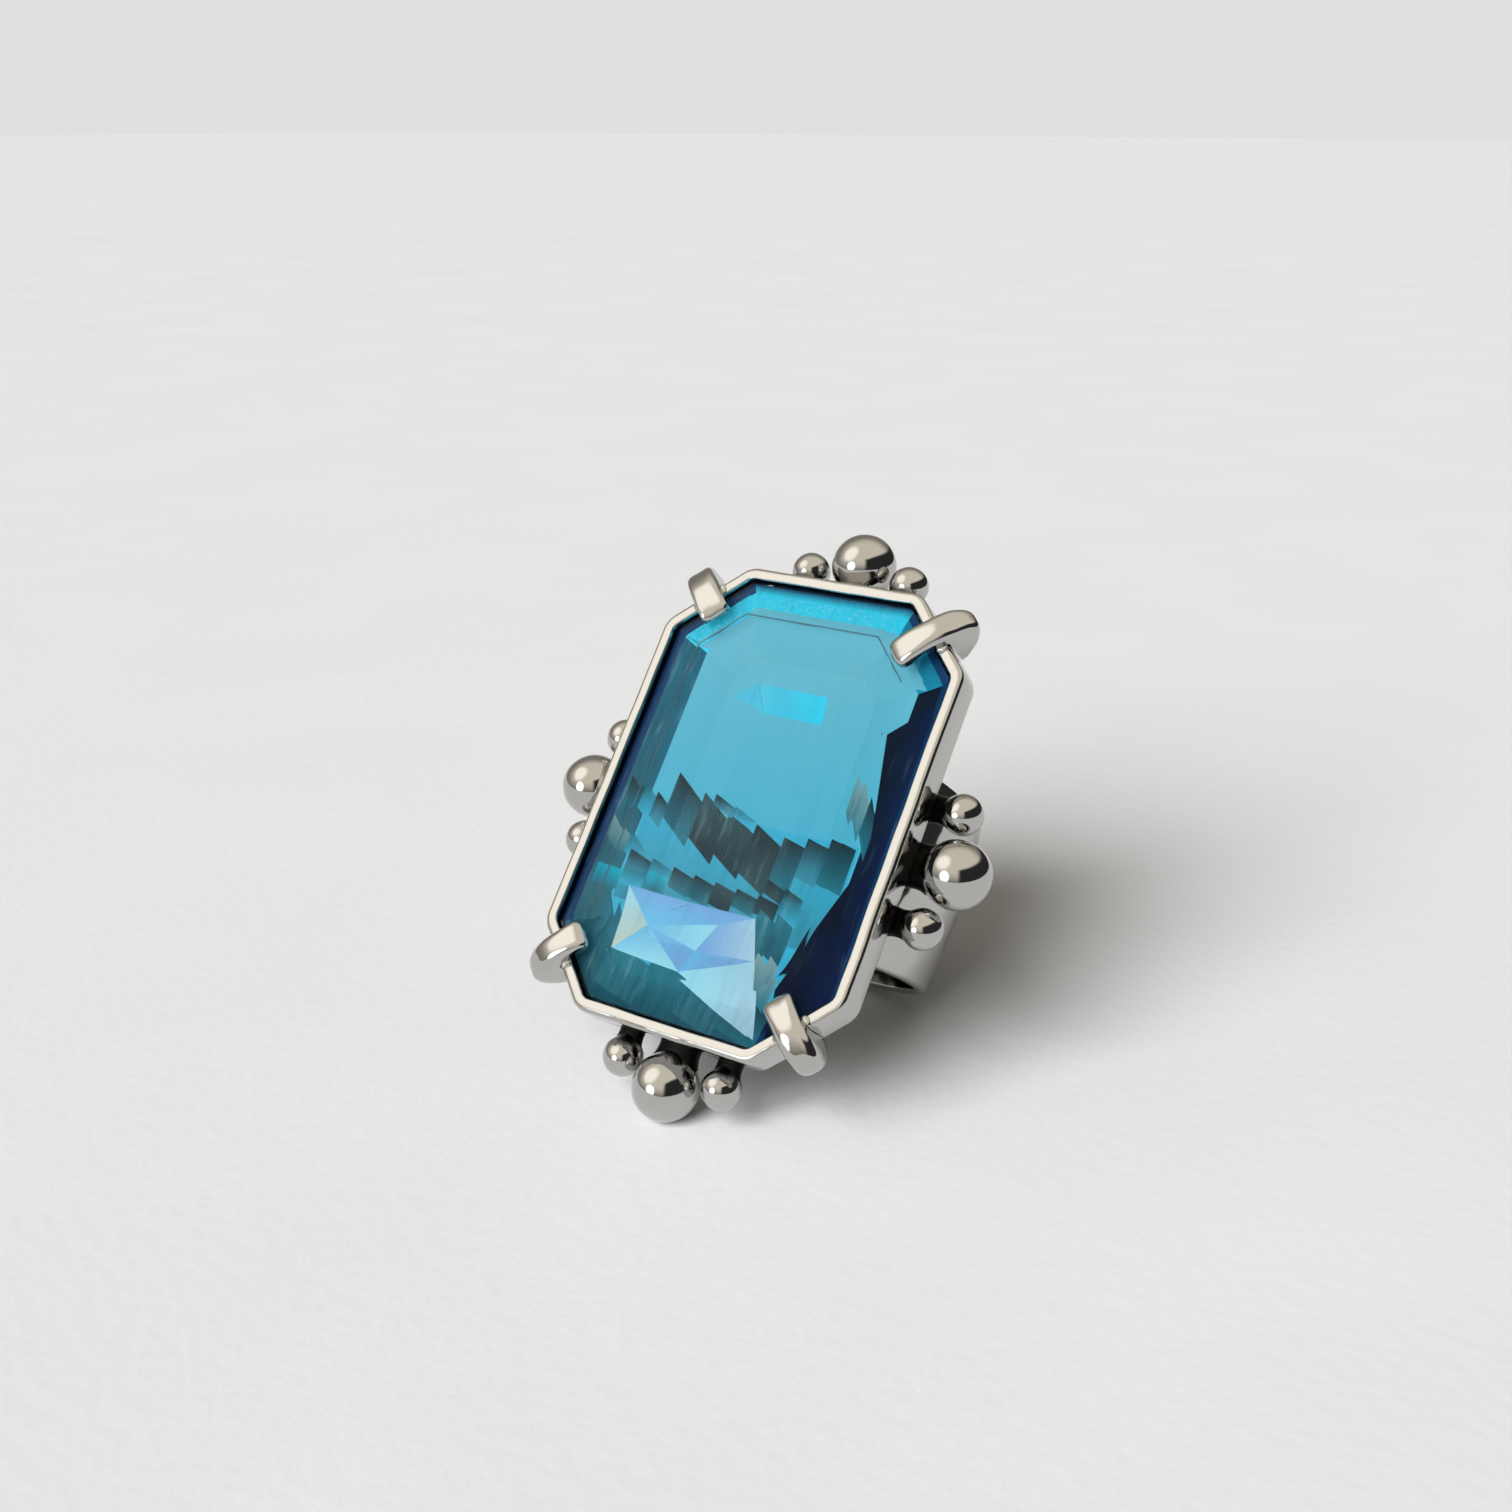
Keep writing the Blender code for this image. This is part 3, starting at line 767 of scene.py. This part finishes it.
# %% [markdown]
# The pegs are stubs of wire, thick with solder, which stays black, and their black is also painted shade
# between the balls and the wall. A waisted profile is spun round each peg's axis and pressed flat, as the
# solder spreads along the wall, and its size follows its ball.

# %% Pegs
PEG_SHARE = 0.68
PEG_FLATNESS = 0.6
PEG_LENGTH = 1.7
PEG_ROOT = 0.75
COLLAR = 0.2
PEG_STEPS = 8

for name in pegs:
    ball_name = name.replace("post_", "ball_")
    waist = ball_radius(ball_name) * PEG_SHARE
    middle = middle_of(name)
    outwards = (middle_of(ball_name) - middle).normalized()
    peg = bmesh.new()
    profile = []
    for step in range(PEG_STEPS + 1):
        share = step / PEG_STEPS
        radius = waist + COLLAR * (2 * share - 1) ** 2
        profile.append(peg.verts.new((radius, 0, share * PEG_LENGTH)))
    profile_edges = [peg.edges.new(pair) for pair in zip(profile, profile[1:])]
    bmesh.ops.spin(
        peg, geom=profile + profile_edges, cent=(0, 0, 0), axis=(0, 0, 1), angle=math.tau, steps=32,
        use_merge=True,
    )
    bmesh.ops.holes_fill(peg, edges=[edge for edge in peg.edges if edge.is_boundary], sides=0)
    bmesh.ops.scale(peg, verts=peg.verts[:], vec=(1, PEG_FLATNESS, 1))
    bmesh.ops.rotate(peg, verts=peg.verts[:], matrix=outwards.to_track_quat("Z", "Y").to_matrix())
    bmesh.ops.translate(peg, verts=peg.verts[:], vec=middle - outwards * PEG_ROOT)
    # Fully dark: black solder, and painted shade between the balls and the wall.
    place_piece(f"{name}_stub", peg, silver, [name], tarnish_and_shade=lambda point: 1.0)

# %% [markdown]
# The stone is clear glass, a little smeared. Where its table's edge is worn, the glass is rough and
# darker, so those narrow faces have a finish of their own. The colour comes from behind the glass.

# %% Glass
GLASS_BENDING = 1.5
CLEAR_TINT = (0.9, 0.98, 1.0)
WORN_TINT = linear(30, 80, 100)
REFLECTION_TINT = (0.04, 0.06, 0.08)
SMEAR_SCALE = 300
SMEAR_FADE = (0.55, 0.9)
SMEAR_ROUGHNESS = 0.02


def glass_finish(name, tint):
    material, tree, shader = new_material(name)
    shader.inputs["Transmission Weight"].default_value = 1.0
    shader.inputs["IOR"].default_value = GLASS_BENDING
    shader.inputs["Base Color"].default_value = (*tint, 1.0)
    return material, tree, shader


clear_glass, glass_tree, glass_shader = glass_finish("clear_glass", CLEAR_TINT)
glass_shader.inputs["Specular Tint"].default_value = (*REFLECTION_TINT, 1.0)
smears = fade(speckle(glass_tree, SMEAR_SCALE, 4), *SMEAR_FADE)
feed(glass_tree, glass_shader, Roughness=smears * SMEAR_ROUGHNESS)
worn_glass, _, worn_shader = glass_finish("worn_glass", WORN_TINT)
worn_shader.inputs["Roughness"].default_value = 0.35
print("glass finishes mixed:", clear_glass.name, "and", worn_glass.name)

# %% [markdown]
# The stone's girdle is the outline once more, its crown an inset that rises to the table, and its back
# is cut in three steps. The table's edge is slightly chipped in the photograph, so that edge is
# bevelled, divided and shaken a little.

# %% Stone
GIRDLE_TOP = -0.45
GIRDLE_BOTTOM = -1.05
CROWN_WIDTH = 2.7
PAVILION_DEPTH = 2.2
PAVILION_INSET = 7.2
PAVILION_STEPS = 3
TABLE_EDGE_WEAR = 0.06
CHIP_CUTS = 9
CHIP_SCALE = 1.1
CHIP_DEPTH = 0.12


def pavilion_drop(inset):
    """How far the stone's stepped back lies under its girdle, at a distance from its edge."""
    return math.sin(math.pi / 2 * inset / PAVILION_INSET) * PAVILION_DEPTH


stone = bmesh.new()
sheet = cut_corner_sheet(stone, 0, GIRDLE_BOTTOM)
extrude_by(stone, [sheet], GIRDLE_TOP - GIRDLE_BOTTOM)
bmesh.ops.recalc_face_normals(stone, faces=stone.faces[:])
crown_face = max(stone.faces, key=lambda face: face.calc_center_median().z)
bmesh.ops.inset_region(
    stone, faces=[crown_face], thickness=CROWN_WIDTH, depth=TABLE_LEVEL - GIRDLE_TOP, use_even_offset=True
)
step_width = PAVILION_INSET / PAVILION_STEPS
for step in range(PAVILION_STEPS):
    back_face = min(stone.faces, key=lambda face: face.calc_center_median().z)
    drop = pavilion_drop((step + 1) * step_width) - pavilion_drop(step * step_width)
    bmesh.ops.inset_region(stone, faces=[back_face], thickness=step_width, depth=drop, use_even_offset=True)
table_edges = edges_between(stone, lambda point: point.z > TABLE_LEVEL - NEAR)
bmesh.ops.bevel(
    stone, geom=table_edges, offset=TABLE_EDGE_WEAR, segments=2, profile=0.5, affect="EDGES", material=-1
)
table_edges = edges_between(stone, lambda point: point.z > TABLE_LEVEL - NEAR / 10)
chips = bmesh.ops.subdivide_edges(stone, edges=table_edges, cuts=CHIP_CUTS)["geom_inner"]
for chip in (item for item in chips if isinstance(item, bmesh.types.BMVert)):
    shake = noise.noise_vector(chip.co * CHIP_SCALE)
    chip.co += Vector((shake.x, shake.y, 0)) * CHIP_DEPTH
for face in stone.faces:
    middle = face.calc_center_median()
    narrow = face.calc_area() < STONE_WIDTH and middle.z > TABLE_LEVEL - TABLE_EDGE_WEAR
    if narrow and middle.y / STONE_LENGTH > middle.x / STONE_WIDTH:
        face.material_index = 1
jewel = place_piece("glass_stone", stone, clear_glass, ["stone"], tarnish_and_shade=clean, sharp=5)
jewel.data.materials.append(worn_glass)

# %% [markdown]
# Behind the glass lies coloured foil, cemented to the stone's stepped back, and what the eye takes for
# the stone's colour is that foil seen through the facets. The play of light in the cut is painted on the
# foil as well: its patches are painted reflections, glints and shade. Glass keeps part of the light that
# the foil gives back, and returns some of it to the foil. So a colour under glass doesn't look as it is,
# and under_glass works out how light the foil must be for a wanted look.

# %% Foil colours
GLASS_PASSES = 0.7
GLASS_RETURNS = 0.596


def under_glass(red, green, blue, streaks=0.1):
    """The foil's own colour, for a colour as it should look through the glass, and its share of streaks."""
    lightness = [part / (GLASS_PASSES + GLASS_RETURNS * part) for part in linear(red, green, blue)]
    return (*lightness, streaks)


AQUA = under_glass(44, 160, 201, 0.05)
# AQUA_HIGH is a painted reflection at the table's top end; BRIGHT and BRIGHT_EDGE are a painted highlight.
AQUA_HIGH = under_glass(88, 174, 198, 0.04)
AQUA_LOW = under_glass(44, 128, 152, 0.3)
BRIGHT = under_glass(22, 204, 255)
BRIGHT_EDGE = under_glass(64, 186, 226)
SPARKLE = under_glass(30, 208, 255, 0.15)
EDGE_BLUE = under_glass(0, 44, 84, 0.3)
STEP_DARK = under_glass(16, 32, 36, 0.3)
STEP_GREY = under_glass(34, 60, 64, 0.3)
STEP_TEAL = under_glass(26, 98, 114, 0.4)
CYAN_BIT = under_glass(6, 160, 190, 0.3)
CYAN_CORNER = under_glass(4, 116, 150, 0.4)
NAVY = under_glass(0, 0, 20)
NAVY_BLUE = under_glass(0, 12, 48)
DEEP_TEAL = under_glass(20, 74, 86, 0.5)
FAN_BLUE = under_glass(98, 184, 246)
FAN_PALE = under_glass(146, 230, 255)
FAN_SHADE = under_glass(108, 158, 230)
FAN_WHITE = under_glass(164, 208, 234)
FAN_BEIGE = under_glass(190, 204, 190)
SHARD = under_glass(112, 148, 150, 0.2)
LEFT_GREY = under_glass(38, 92, 104, 0.5)
LEFT_BLUE = under_glass(14, 86, 108, 0.4)
print("aqua foil under the glass:", [round(part, 3) for part in AQUA[:3]])

# %% [markdown]
# The foil's shader reads two values that are painted on its facets. One is the tint, with the share of
# streaks as its fourth number: dark and light streaks along the stone are painted reflections, standing
# for the many thin reflections in a real cut. The other marks the painted glints, which add sparks of
# light to the foil beside the top.

# %% Foil finish
DARK_STREAK = under_glass(10, 46, 66)[:3]
LIGHT_STREAK = under_glass(150, 205, 215)[:3]
SPARK = under_glass(150, 240, 255)[:3]
STREAK_SCALE = 420
STREAK_STRETCH = (5, 0.5, 1)
DARK_STREAK_FADE = (0.48, 0.72)
LIGHT_STREAK_FADE = (0.44, 0.24)
LIGHT_STREAK_SHARE = 0.5
SPARK_SCALE = 4200
SPARK_FADE = (0.5, 0.7)
SPARK_SHARE = 0.35


def painted(name, output):
    """One output of a value that is painted on the foil."""
    return Wire.node(foil_tree, "ShaderNodeAttribute", {"attribute_name": name}, output=output)


foil, foil_tree, foil_shader = new_material("coloured_foil")
streaky = painted("facet_tint", "Alpha")
streaks = speckle(foil_tree, STREAK_SCALE, 4, stretch=STREAK_STRETCH)
colour = mix(fade(streaks, *DARK_STREAK_FADE) * streaky, painted("facet_tint", "Color"), DARK_STREAK)
colour = mix(fade(streaks, *LIGHT_STREAK_FADE) * streaky * LIGHT_STREAK_SHARE, colour, LIGHT_STREAK)
# Painted glints: sparks of light on the foil beside the top.
sparks = fade(speckle(foil_tree, SPARK_SCALE, 3), *SPARK_FADE)
colour = mix(sparks * painted("facet_glints", "Fac") * SPARK_SHARE, colour, SPARK)
foil_shader.inputs["Roughness"].default_value = 0.5
foil_shader.inputs["Specular IOR Level"].default_value = 0.2
feed(foil_tree, foil_shader, Base_Color=colour)
print("foil finish mixed with", len(foil_tree.nodes), "nodes")

# %% [markdown]
# What the foil shows depends on the side of the stone, and it is painted light and shade: painted sparkle
# of light at the top, navy painted shade at the right, grey blue at the left and deep teal at the bottom.
# The angles that part those sides are in degrees, anticlockwise from the right. A colour runs from one
# point to another, so each function here gives two colours and the two points where they are reached.

# %% Foil shading
FOIL_INSIDE = 0.12
EDGE_STRIP = 0.65
FOOT = (0, 0)
HEAD_END = (0, STONE_LENGTH / 3)
TOP_EDGE = (0, STONE_LENGTH / 2 - FOIL_INSIDE)
TOP_STRIP = (0, STONE_LENGTH / 2 - EDGE_STRIP)
RIGHT_END = 30
CORNER_END = 60
TOP_END = 150
LEFT_END = 210
RIGHT_START = 300
EDGE_TOP_END = 120
EDGE_BOTTOM_END = 290


def side_of(place):
    """The side of the stone that a point lies towards, in degrees from its right."""
    return math.degrees(math.atan2(place.y / STONE_LENGTH, place.x / STONE_WIDTH)) % 360


def rim_colours(middle):
    """How the dark band under the rim is shaded."""
    return NAVY, NAVY, FOOT, HEAD_END


def edge_colours(middle):
    """How the strip beside the rim is shaded."""
    side = side_of(middle)
    if CORNER_END < side < EDGE_TOP_END:
        return EDGE_BLUE, SPARKLE, TOP_EDGE, TOP_STRIP
    if LEFT_END < side < EDGE_BOTTOM_END:
        return DEEP_TEAL, DEEP_TEAL, FOOT, HEAD_END
    return EDGE_BLUE, EDGE_BLUE, FOOT, HEAD_END


def crown_colours(middle):
    """How the foil that shows in the crown, inside the strip, is shaded."""
    side = side_of(middle)
    if side < RIGHT_END or side > RIGHT_START:
        return NAVY_BLUE, NAVY, FOOT, HEAD_END
    if side < CORNER_END:
        return CYAN_CORNER, CYAN_CORNER, FOOT, HEAD_END
    if side < TOP_END:
        return SPARKLE, SPARKLE, FOOT, HEAD_END
    if side < LEFT_END:
        return LEFT_GREY, LEFT_BLUE, FOOT, HEAD_END
    return DEEP_TEAL, DEEP_TEAL, FOOT, HEAD_END


def table_colours(middle):
    """How the foil that shows in the table is shaded, lighter and greyer towards the top end as a painted
    reflection.
    """
    return AQUA, AQUA_HIGH, FOOT, HEAD_END


top_right = side_of(Vector((STONE_WIDTH, STONE_LENGTH)))
print("the cut corner at the top right lies at", round(top_right), "degrees")

# %% [markdown]
# The foil is one bowl that follows the stone's back, made from the outline by insets that go down step
# by step. Each ring of faces is painted as it is made: paint shades a face between two colours and marks
# the sparkling ones for painted glints.

# %% Foil bowl
FOIL_RIM = -0.5
FOIL_RISE = 0.06
DARK_BAND = 0.2
UPRIGHT = 0.01

bowl = bmesh.new()
tints = bowl.loops.layers.float_color.new("facet_tint")
glints = bowl.faces.layers.float.new("facet_glints")


def paint(face, first, last, start, end):
    """Shade a face from one colour at a start point to another at an end point."""
    axis = Vector(end) - Vector(start)
    for loop in face.loops:
        share = (loop.vert.co.xy - Vector(start)).dot(axis) / axis.length_squared
        loop[tints] = Vector(first).lerp(Vector(last), min(max(share, 0.0), 1.0))
    face[glints] = first == SPARKLE


def back_level(inset):
    """The foil's level at a distance from the stone's edge, on the edges of its steps."""
    return GIRDLE_BOTTOM + FOIL_RISE - pavilion_drop(inset)


edge_level = back_level(0) + (back_level(step_width) - back_level(0)) * EDGE_STRIP / step_width
stages = [
    (UPRIGHT, FOIL_RIM - DARK_BAND, rim_colours),
    (UPRIGHT, back_level(0), edge_colours),
    (EDGE_STRIP, edge_level, edge_colours),
    (step_width - EDGE_STRIP, back_level(step_width), crown_colours),
]
for step in range(2, PAVILION_STEPS + 1):
    stages.append((step_width, back_level(step * step_width), table_colours))
bottom = cut_corner_sheet(bowl, -FOIL_INSIDE, FOIL_RIM)
level = FOIL_RIM
for inset, next_level, colours_at in stages:
    ring = bmesh.ops.inset_region(
        bowl, faces=[bottom], thickness=inset, depth=next_level - level, use_boundary=True,
        use_even_offset=True,
    )
    for face in ring["faces"]:
        paint(face, *colours_at(face.calc_center_median()))
    level = next_level
paint(bottom, *table_colours(bottom.calc_center_median()))
print("foil bowl has", len(bowl.faces), "faces")

# %% [markdown]
# The facets are cut into the bowl like a jeweller's: each is a convex patch, and a vertical cut along
# each of its sides splits the bowl, so the patches lie in the foil without gaps or overlaps. The dark
# steps of the photograph hang in rows like saw teeth, so one function makes a row from its two ends.

# %% Cutting facets
# The patches' colours are painted reflections and shade of the stone's cut.
TOOTH = 0.3
TOOTH_CHANGE = 0.4
NAVY_SIDE = STONE_WIDTH / 2 - EDGE_STRIP
NAVY_EDGE = [(9.0, 8.5), (6.5, 6.5), (8.5, -1.5), (6.5, -6.5), (5.5, -10.5), (6.5, -14.0)]


def cut_patch(builder, corners):
    """Cut a convex patch out of the foil, given its corners anticlockwise, and return its faces."""
    first = Vector(corners[0])
    reach = max((Vector(corner) - first).length for corner in corners)
    # Only the faces near the patch are cut, and the large ones, which may reach under it.
    inside = [face for face in builder.faces
              if any((vert.co.xy - first).length < reach for vert in face.verts) or face.calc_area() > reach]
    for start, end in zip(corners, corners[1:] + corners[:1]):
        outwards = Vector((end[1] - start[1], start[0] - end[0], 0))
        foot = Vector((*start, 0))
        parts = set(inside)
        for face in inside:
            parts.update(face.edges)
            parts.update(face.verts)
        cut = bmesh.ops.bisect_plane(
            builder, geom=list(parts), dist=0.0001, plane_co=foot, plane_no=outwards
        )
        faces = [item for item in cut["geom"] if isinstance(item, bmesh.types.BMFace)]
        inside = [face for face in faces if (face.calc_center_median() - foot).dot(outwards) < 0]
    return inside


def navy_side():
    """The dark right side, painted shade: a patch from each zigzag stretch of its edge to the strip beside
    the rim.
    """
    for upper, lower in zip(NAVY_EDGE, NAVY_EDGE[1:]):
        yield NAVY, NAVY_BLUE, [upper, lower, (NAVY_SIDE, lower[1]), (NAVY_SIDE, upper[1])]


def step_row(left, right, depth, shades, sag=0.0):
    """A row of steps that hangs like saw teeth from a line between two points, one step for each shade."""
    tooth = TOOTH * depth
    steps = []
    for index, (first, last) in enumerate(shades):
        ends = []
        for share in (index / len(shades), (index + 1) / len(shades)):
            ends.append(Vector(left).lerp(Vector(right), share) - Vector((0, 4 * sag * share * (1 - share))))
        (x_left, y_left), (x_right, y_right) = ends
        hang = depth * (1 + TOOTH_CHANGE * noise.noise(Vector((x_left, y_left, depth))))
        lower = [(x_left, y_left - hang), (x_right, y_right - hang - tooth)]
        upper = [(x_right, y_right), (x_left, y_left + tooth)]
        steps.append((first, last, lower + upper))
    return steps


print("dark side has", len(list(navy_side())), "patches")

# %% [markdown]
# At the lower end the foil carries a pale blue fan, a painted reflection of the window in the facets of
# the stone's back. Its patches share their corners, so each corner has a name and is written once.

# %% Fan
FAN_TOP_LEFT = (-6.8, -7.0)
FAN_TOP_RIGHT = (2.5, -6.8)
FAN_LEFT = (-6.2, -11.2)
FAN_FOOT = (-1.0, -11.4)
FAN_TIP = (5.7, -14.0)
FAN_UNDER = (2.4, -12.8)
FAN_RIGHT = (3.6, -9.4)
FAN_EYE = (-4.6, -9.1)
FAN_HEART = (-0.6, -9.8)
FAN_BROW = (0.2, -7.8)
FAN = [
    (FAN_BLUE, FAN_SHADE, [FAN_EYE, FAN_BROW, FAN_TOP_RIGHT, FAN_TOP_LEFT]),
    (FAN_BEIGE, FAN_PALE, [FAN_LEFT, FAN_EYE, FAN_TOP_LEFT]),
    (FAN_PALE, FAN_BLUE, [FAN_HEART, FAN_BROW, FAN_EYE]),
    (FAN_SHADE, FAN_BLUE, [FAN_FOOT, FAN_HEART, FAN_EYE]),
    (FAN_PALE, FAN_BLUE, [FAN_LEFT, FAN_FOOT, FAN_EYE]),
    (FAN_WHITE, FAN_SHADE, [FAN_RIGHT, FAN_TOP_RIGHT, FAN_BROW, FAN_HEART]),
    (FAN_SHADE, FAN_BLUE, [FAN_FOOT, FAN_RIGHT, FAN_HEART]),
    (FAN_WHITE, FAN_PALE, [FAN_TIP, FAN_RIGHT, FAN_FOOT, FAN_UNDER]),
]
print("fan has", len(FAN), "patches")

# %% [markdown]
# The other facets are rows of steps and a few single patches. A shade is a pair of colours, for the
# lower and the upper end of a step. Later facets cut into earlier ones, so the order matters.

# %% Facets
# The steps' dark and pale tones are painted reflections and shade of the cut.
DARK = (STEP_DARK, STEP_GREY)
GREY = (STEP_GREY, STEP_DARK)
TEAL = (STEP_TEAL, STEP_DARK)
DUSK = (AQUA_LOW, STEP_DARK)
CLEAR = (AQUA, STEP_TEAL)
BLUE_GREEN = (STEP_TEAL, CYAN_BIT)
PALE = (STEP_TEAL, SHARD)
DEEP = (DEEP_TEAL, STEP_TEAL)
MURKY = (LEFT_GREY, STEP_TEAL)

TABLE_SIDE = STONE_WIDTH / 2 - CROWN_WIDTH
# TABLE_TOP carries the painted reflection at the table's top end, and BRIGHT_WINDOW a painted highlight.
TABLE_TOP = [(-8.4, 9.7), (8.4, 9.7), (5.2, 12.85), (-5.2, 12.85)]
LOWER_TABLE = [(-TABLE_SIDE, -8.0), (TABLE_SIDE, -8.0), (TABLE_SIDE, -1.0), (-TABLE_SIDE, -1.0)]
BRIGHT_WINDOW = [(2.0, 6.3), (1.8, 8.2), (-3.5, 8.2), (-4.8, 7.0), (-2.3, 6.3)]
ARC_LEFT = step_row((-6.4, 0.4), (2.4, -2.0), depth=2.3, shades=[TEAL, DARK, DARK, GREY], sag=0.3)
ARC_CREST = step_row((-3.4, 0.2), (0.0, -0.8), depth=0.5, shades=[DUSK, CLEAR])
ARC_RIGHT = step_row((2.4, -2.0), (7.4, -1.2), depth=2.2, shades=[TEAL, DUSK, TEAL])
ARC_END = step_row((2.4, -4.4), (5.3, -5.0), depth=0.7, shades=[GREY, DUSK])
RIGHT_SHARDS = step_row((6.0, 3.0), (8.2, 0.6), depth=1.8, shades=[PALE, TEAL])
LEFT_STEPS = step_row((-9.2, -0.4), (-6.4, -1.2), depth=1.3, shades=[TEAL, CLEAR, DUSK])
LEFT_SHARDS = step_row((-9.4, -3.2), (-6.6, -4.6), depth=1.1, shades=[PALE, CLEAR])
LOWER_SHADES = [DUSK, CLEAR, TEAL, TEAL, DARK, TEAL, GREY, CLEAR]
LOWER_STEPS = step_row((-7.6, -5.0), (5.4, -5.6), depth=1.0, shades=LOWER_SHADES, sag=0.2)
CYAN_STEPS = step_row((-9.2, -6.4), (-4.4, -5.8), depth=0.9, shades=[BLUE_GREEN, CLEAR, BLUE_GREEN])
FAN_LEFT_STEPS = step_row((-7.8, -8.8), (-6.2, -9.6), depth=3.4, shades=[DEEP, MURKY])
FAN_FOOT_STEPS = step_row((-6.2, -11.4), (6.0, -12.0), depth=2.2, shades=[MURKY, DEEP, MURKY, TEAL])
FAN_RIGHT_STEPS = step_row((2.6, -6.8), (5.3, -6.8), depth=2.2, shades=[DEEP, DEEP])
FAN_SHARDS = step_row((3.6, -9.4), (5.4, -9.4), depth=2.0, shades=[PALE, PALE])
FACETS = [
    (AQUA_HIGH, AQUA_HIGH, TABLE_TOP),
    (AQUA_LOW, AQUA, LOWER_TABLE),
    (BRIGHT, BRIGHT_EDGE, BRIGHT_WINDOW),
    *ARC_LEFT, *ARC_CREST, *ARC_RIGHT, *ARC_END,
    *RIGHT_SHARDS, *LEFT_STEPS, *LEFT_SHARDS,
    *LOWER_STEPS, *CYAN_STEPS,
    *FAN_LEFT_STEPS, *FAN_FOOT_STEPS, *FAN_RIGHT_STEPS, *FAN_SHARDS,
    *FAN,
    *navy_side(),
]
for first, last, corners in FACETS:
    start = (Vector(corners[0]) + Vector(corners[1])) / 2
    end = (Vector(corners[2]) + Vector(corners[-1])) / 2
    for face in cut_patch(bowl, corners):
        paint(face, first, last, start, end)
print("patches cut:", len(FACETS))
place_piece("foil_facets", bowl, foil, ["foil_backing"], tarnish_and_shade=clean, sharp=5)
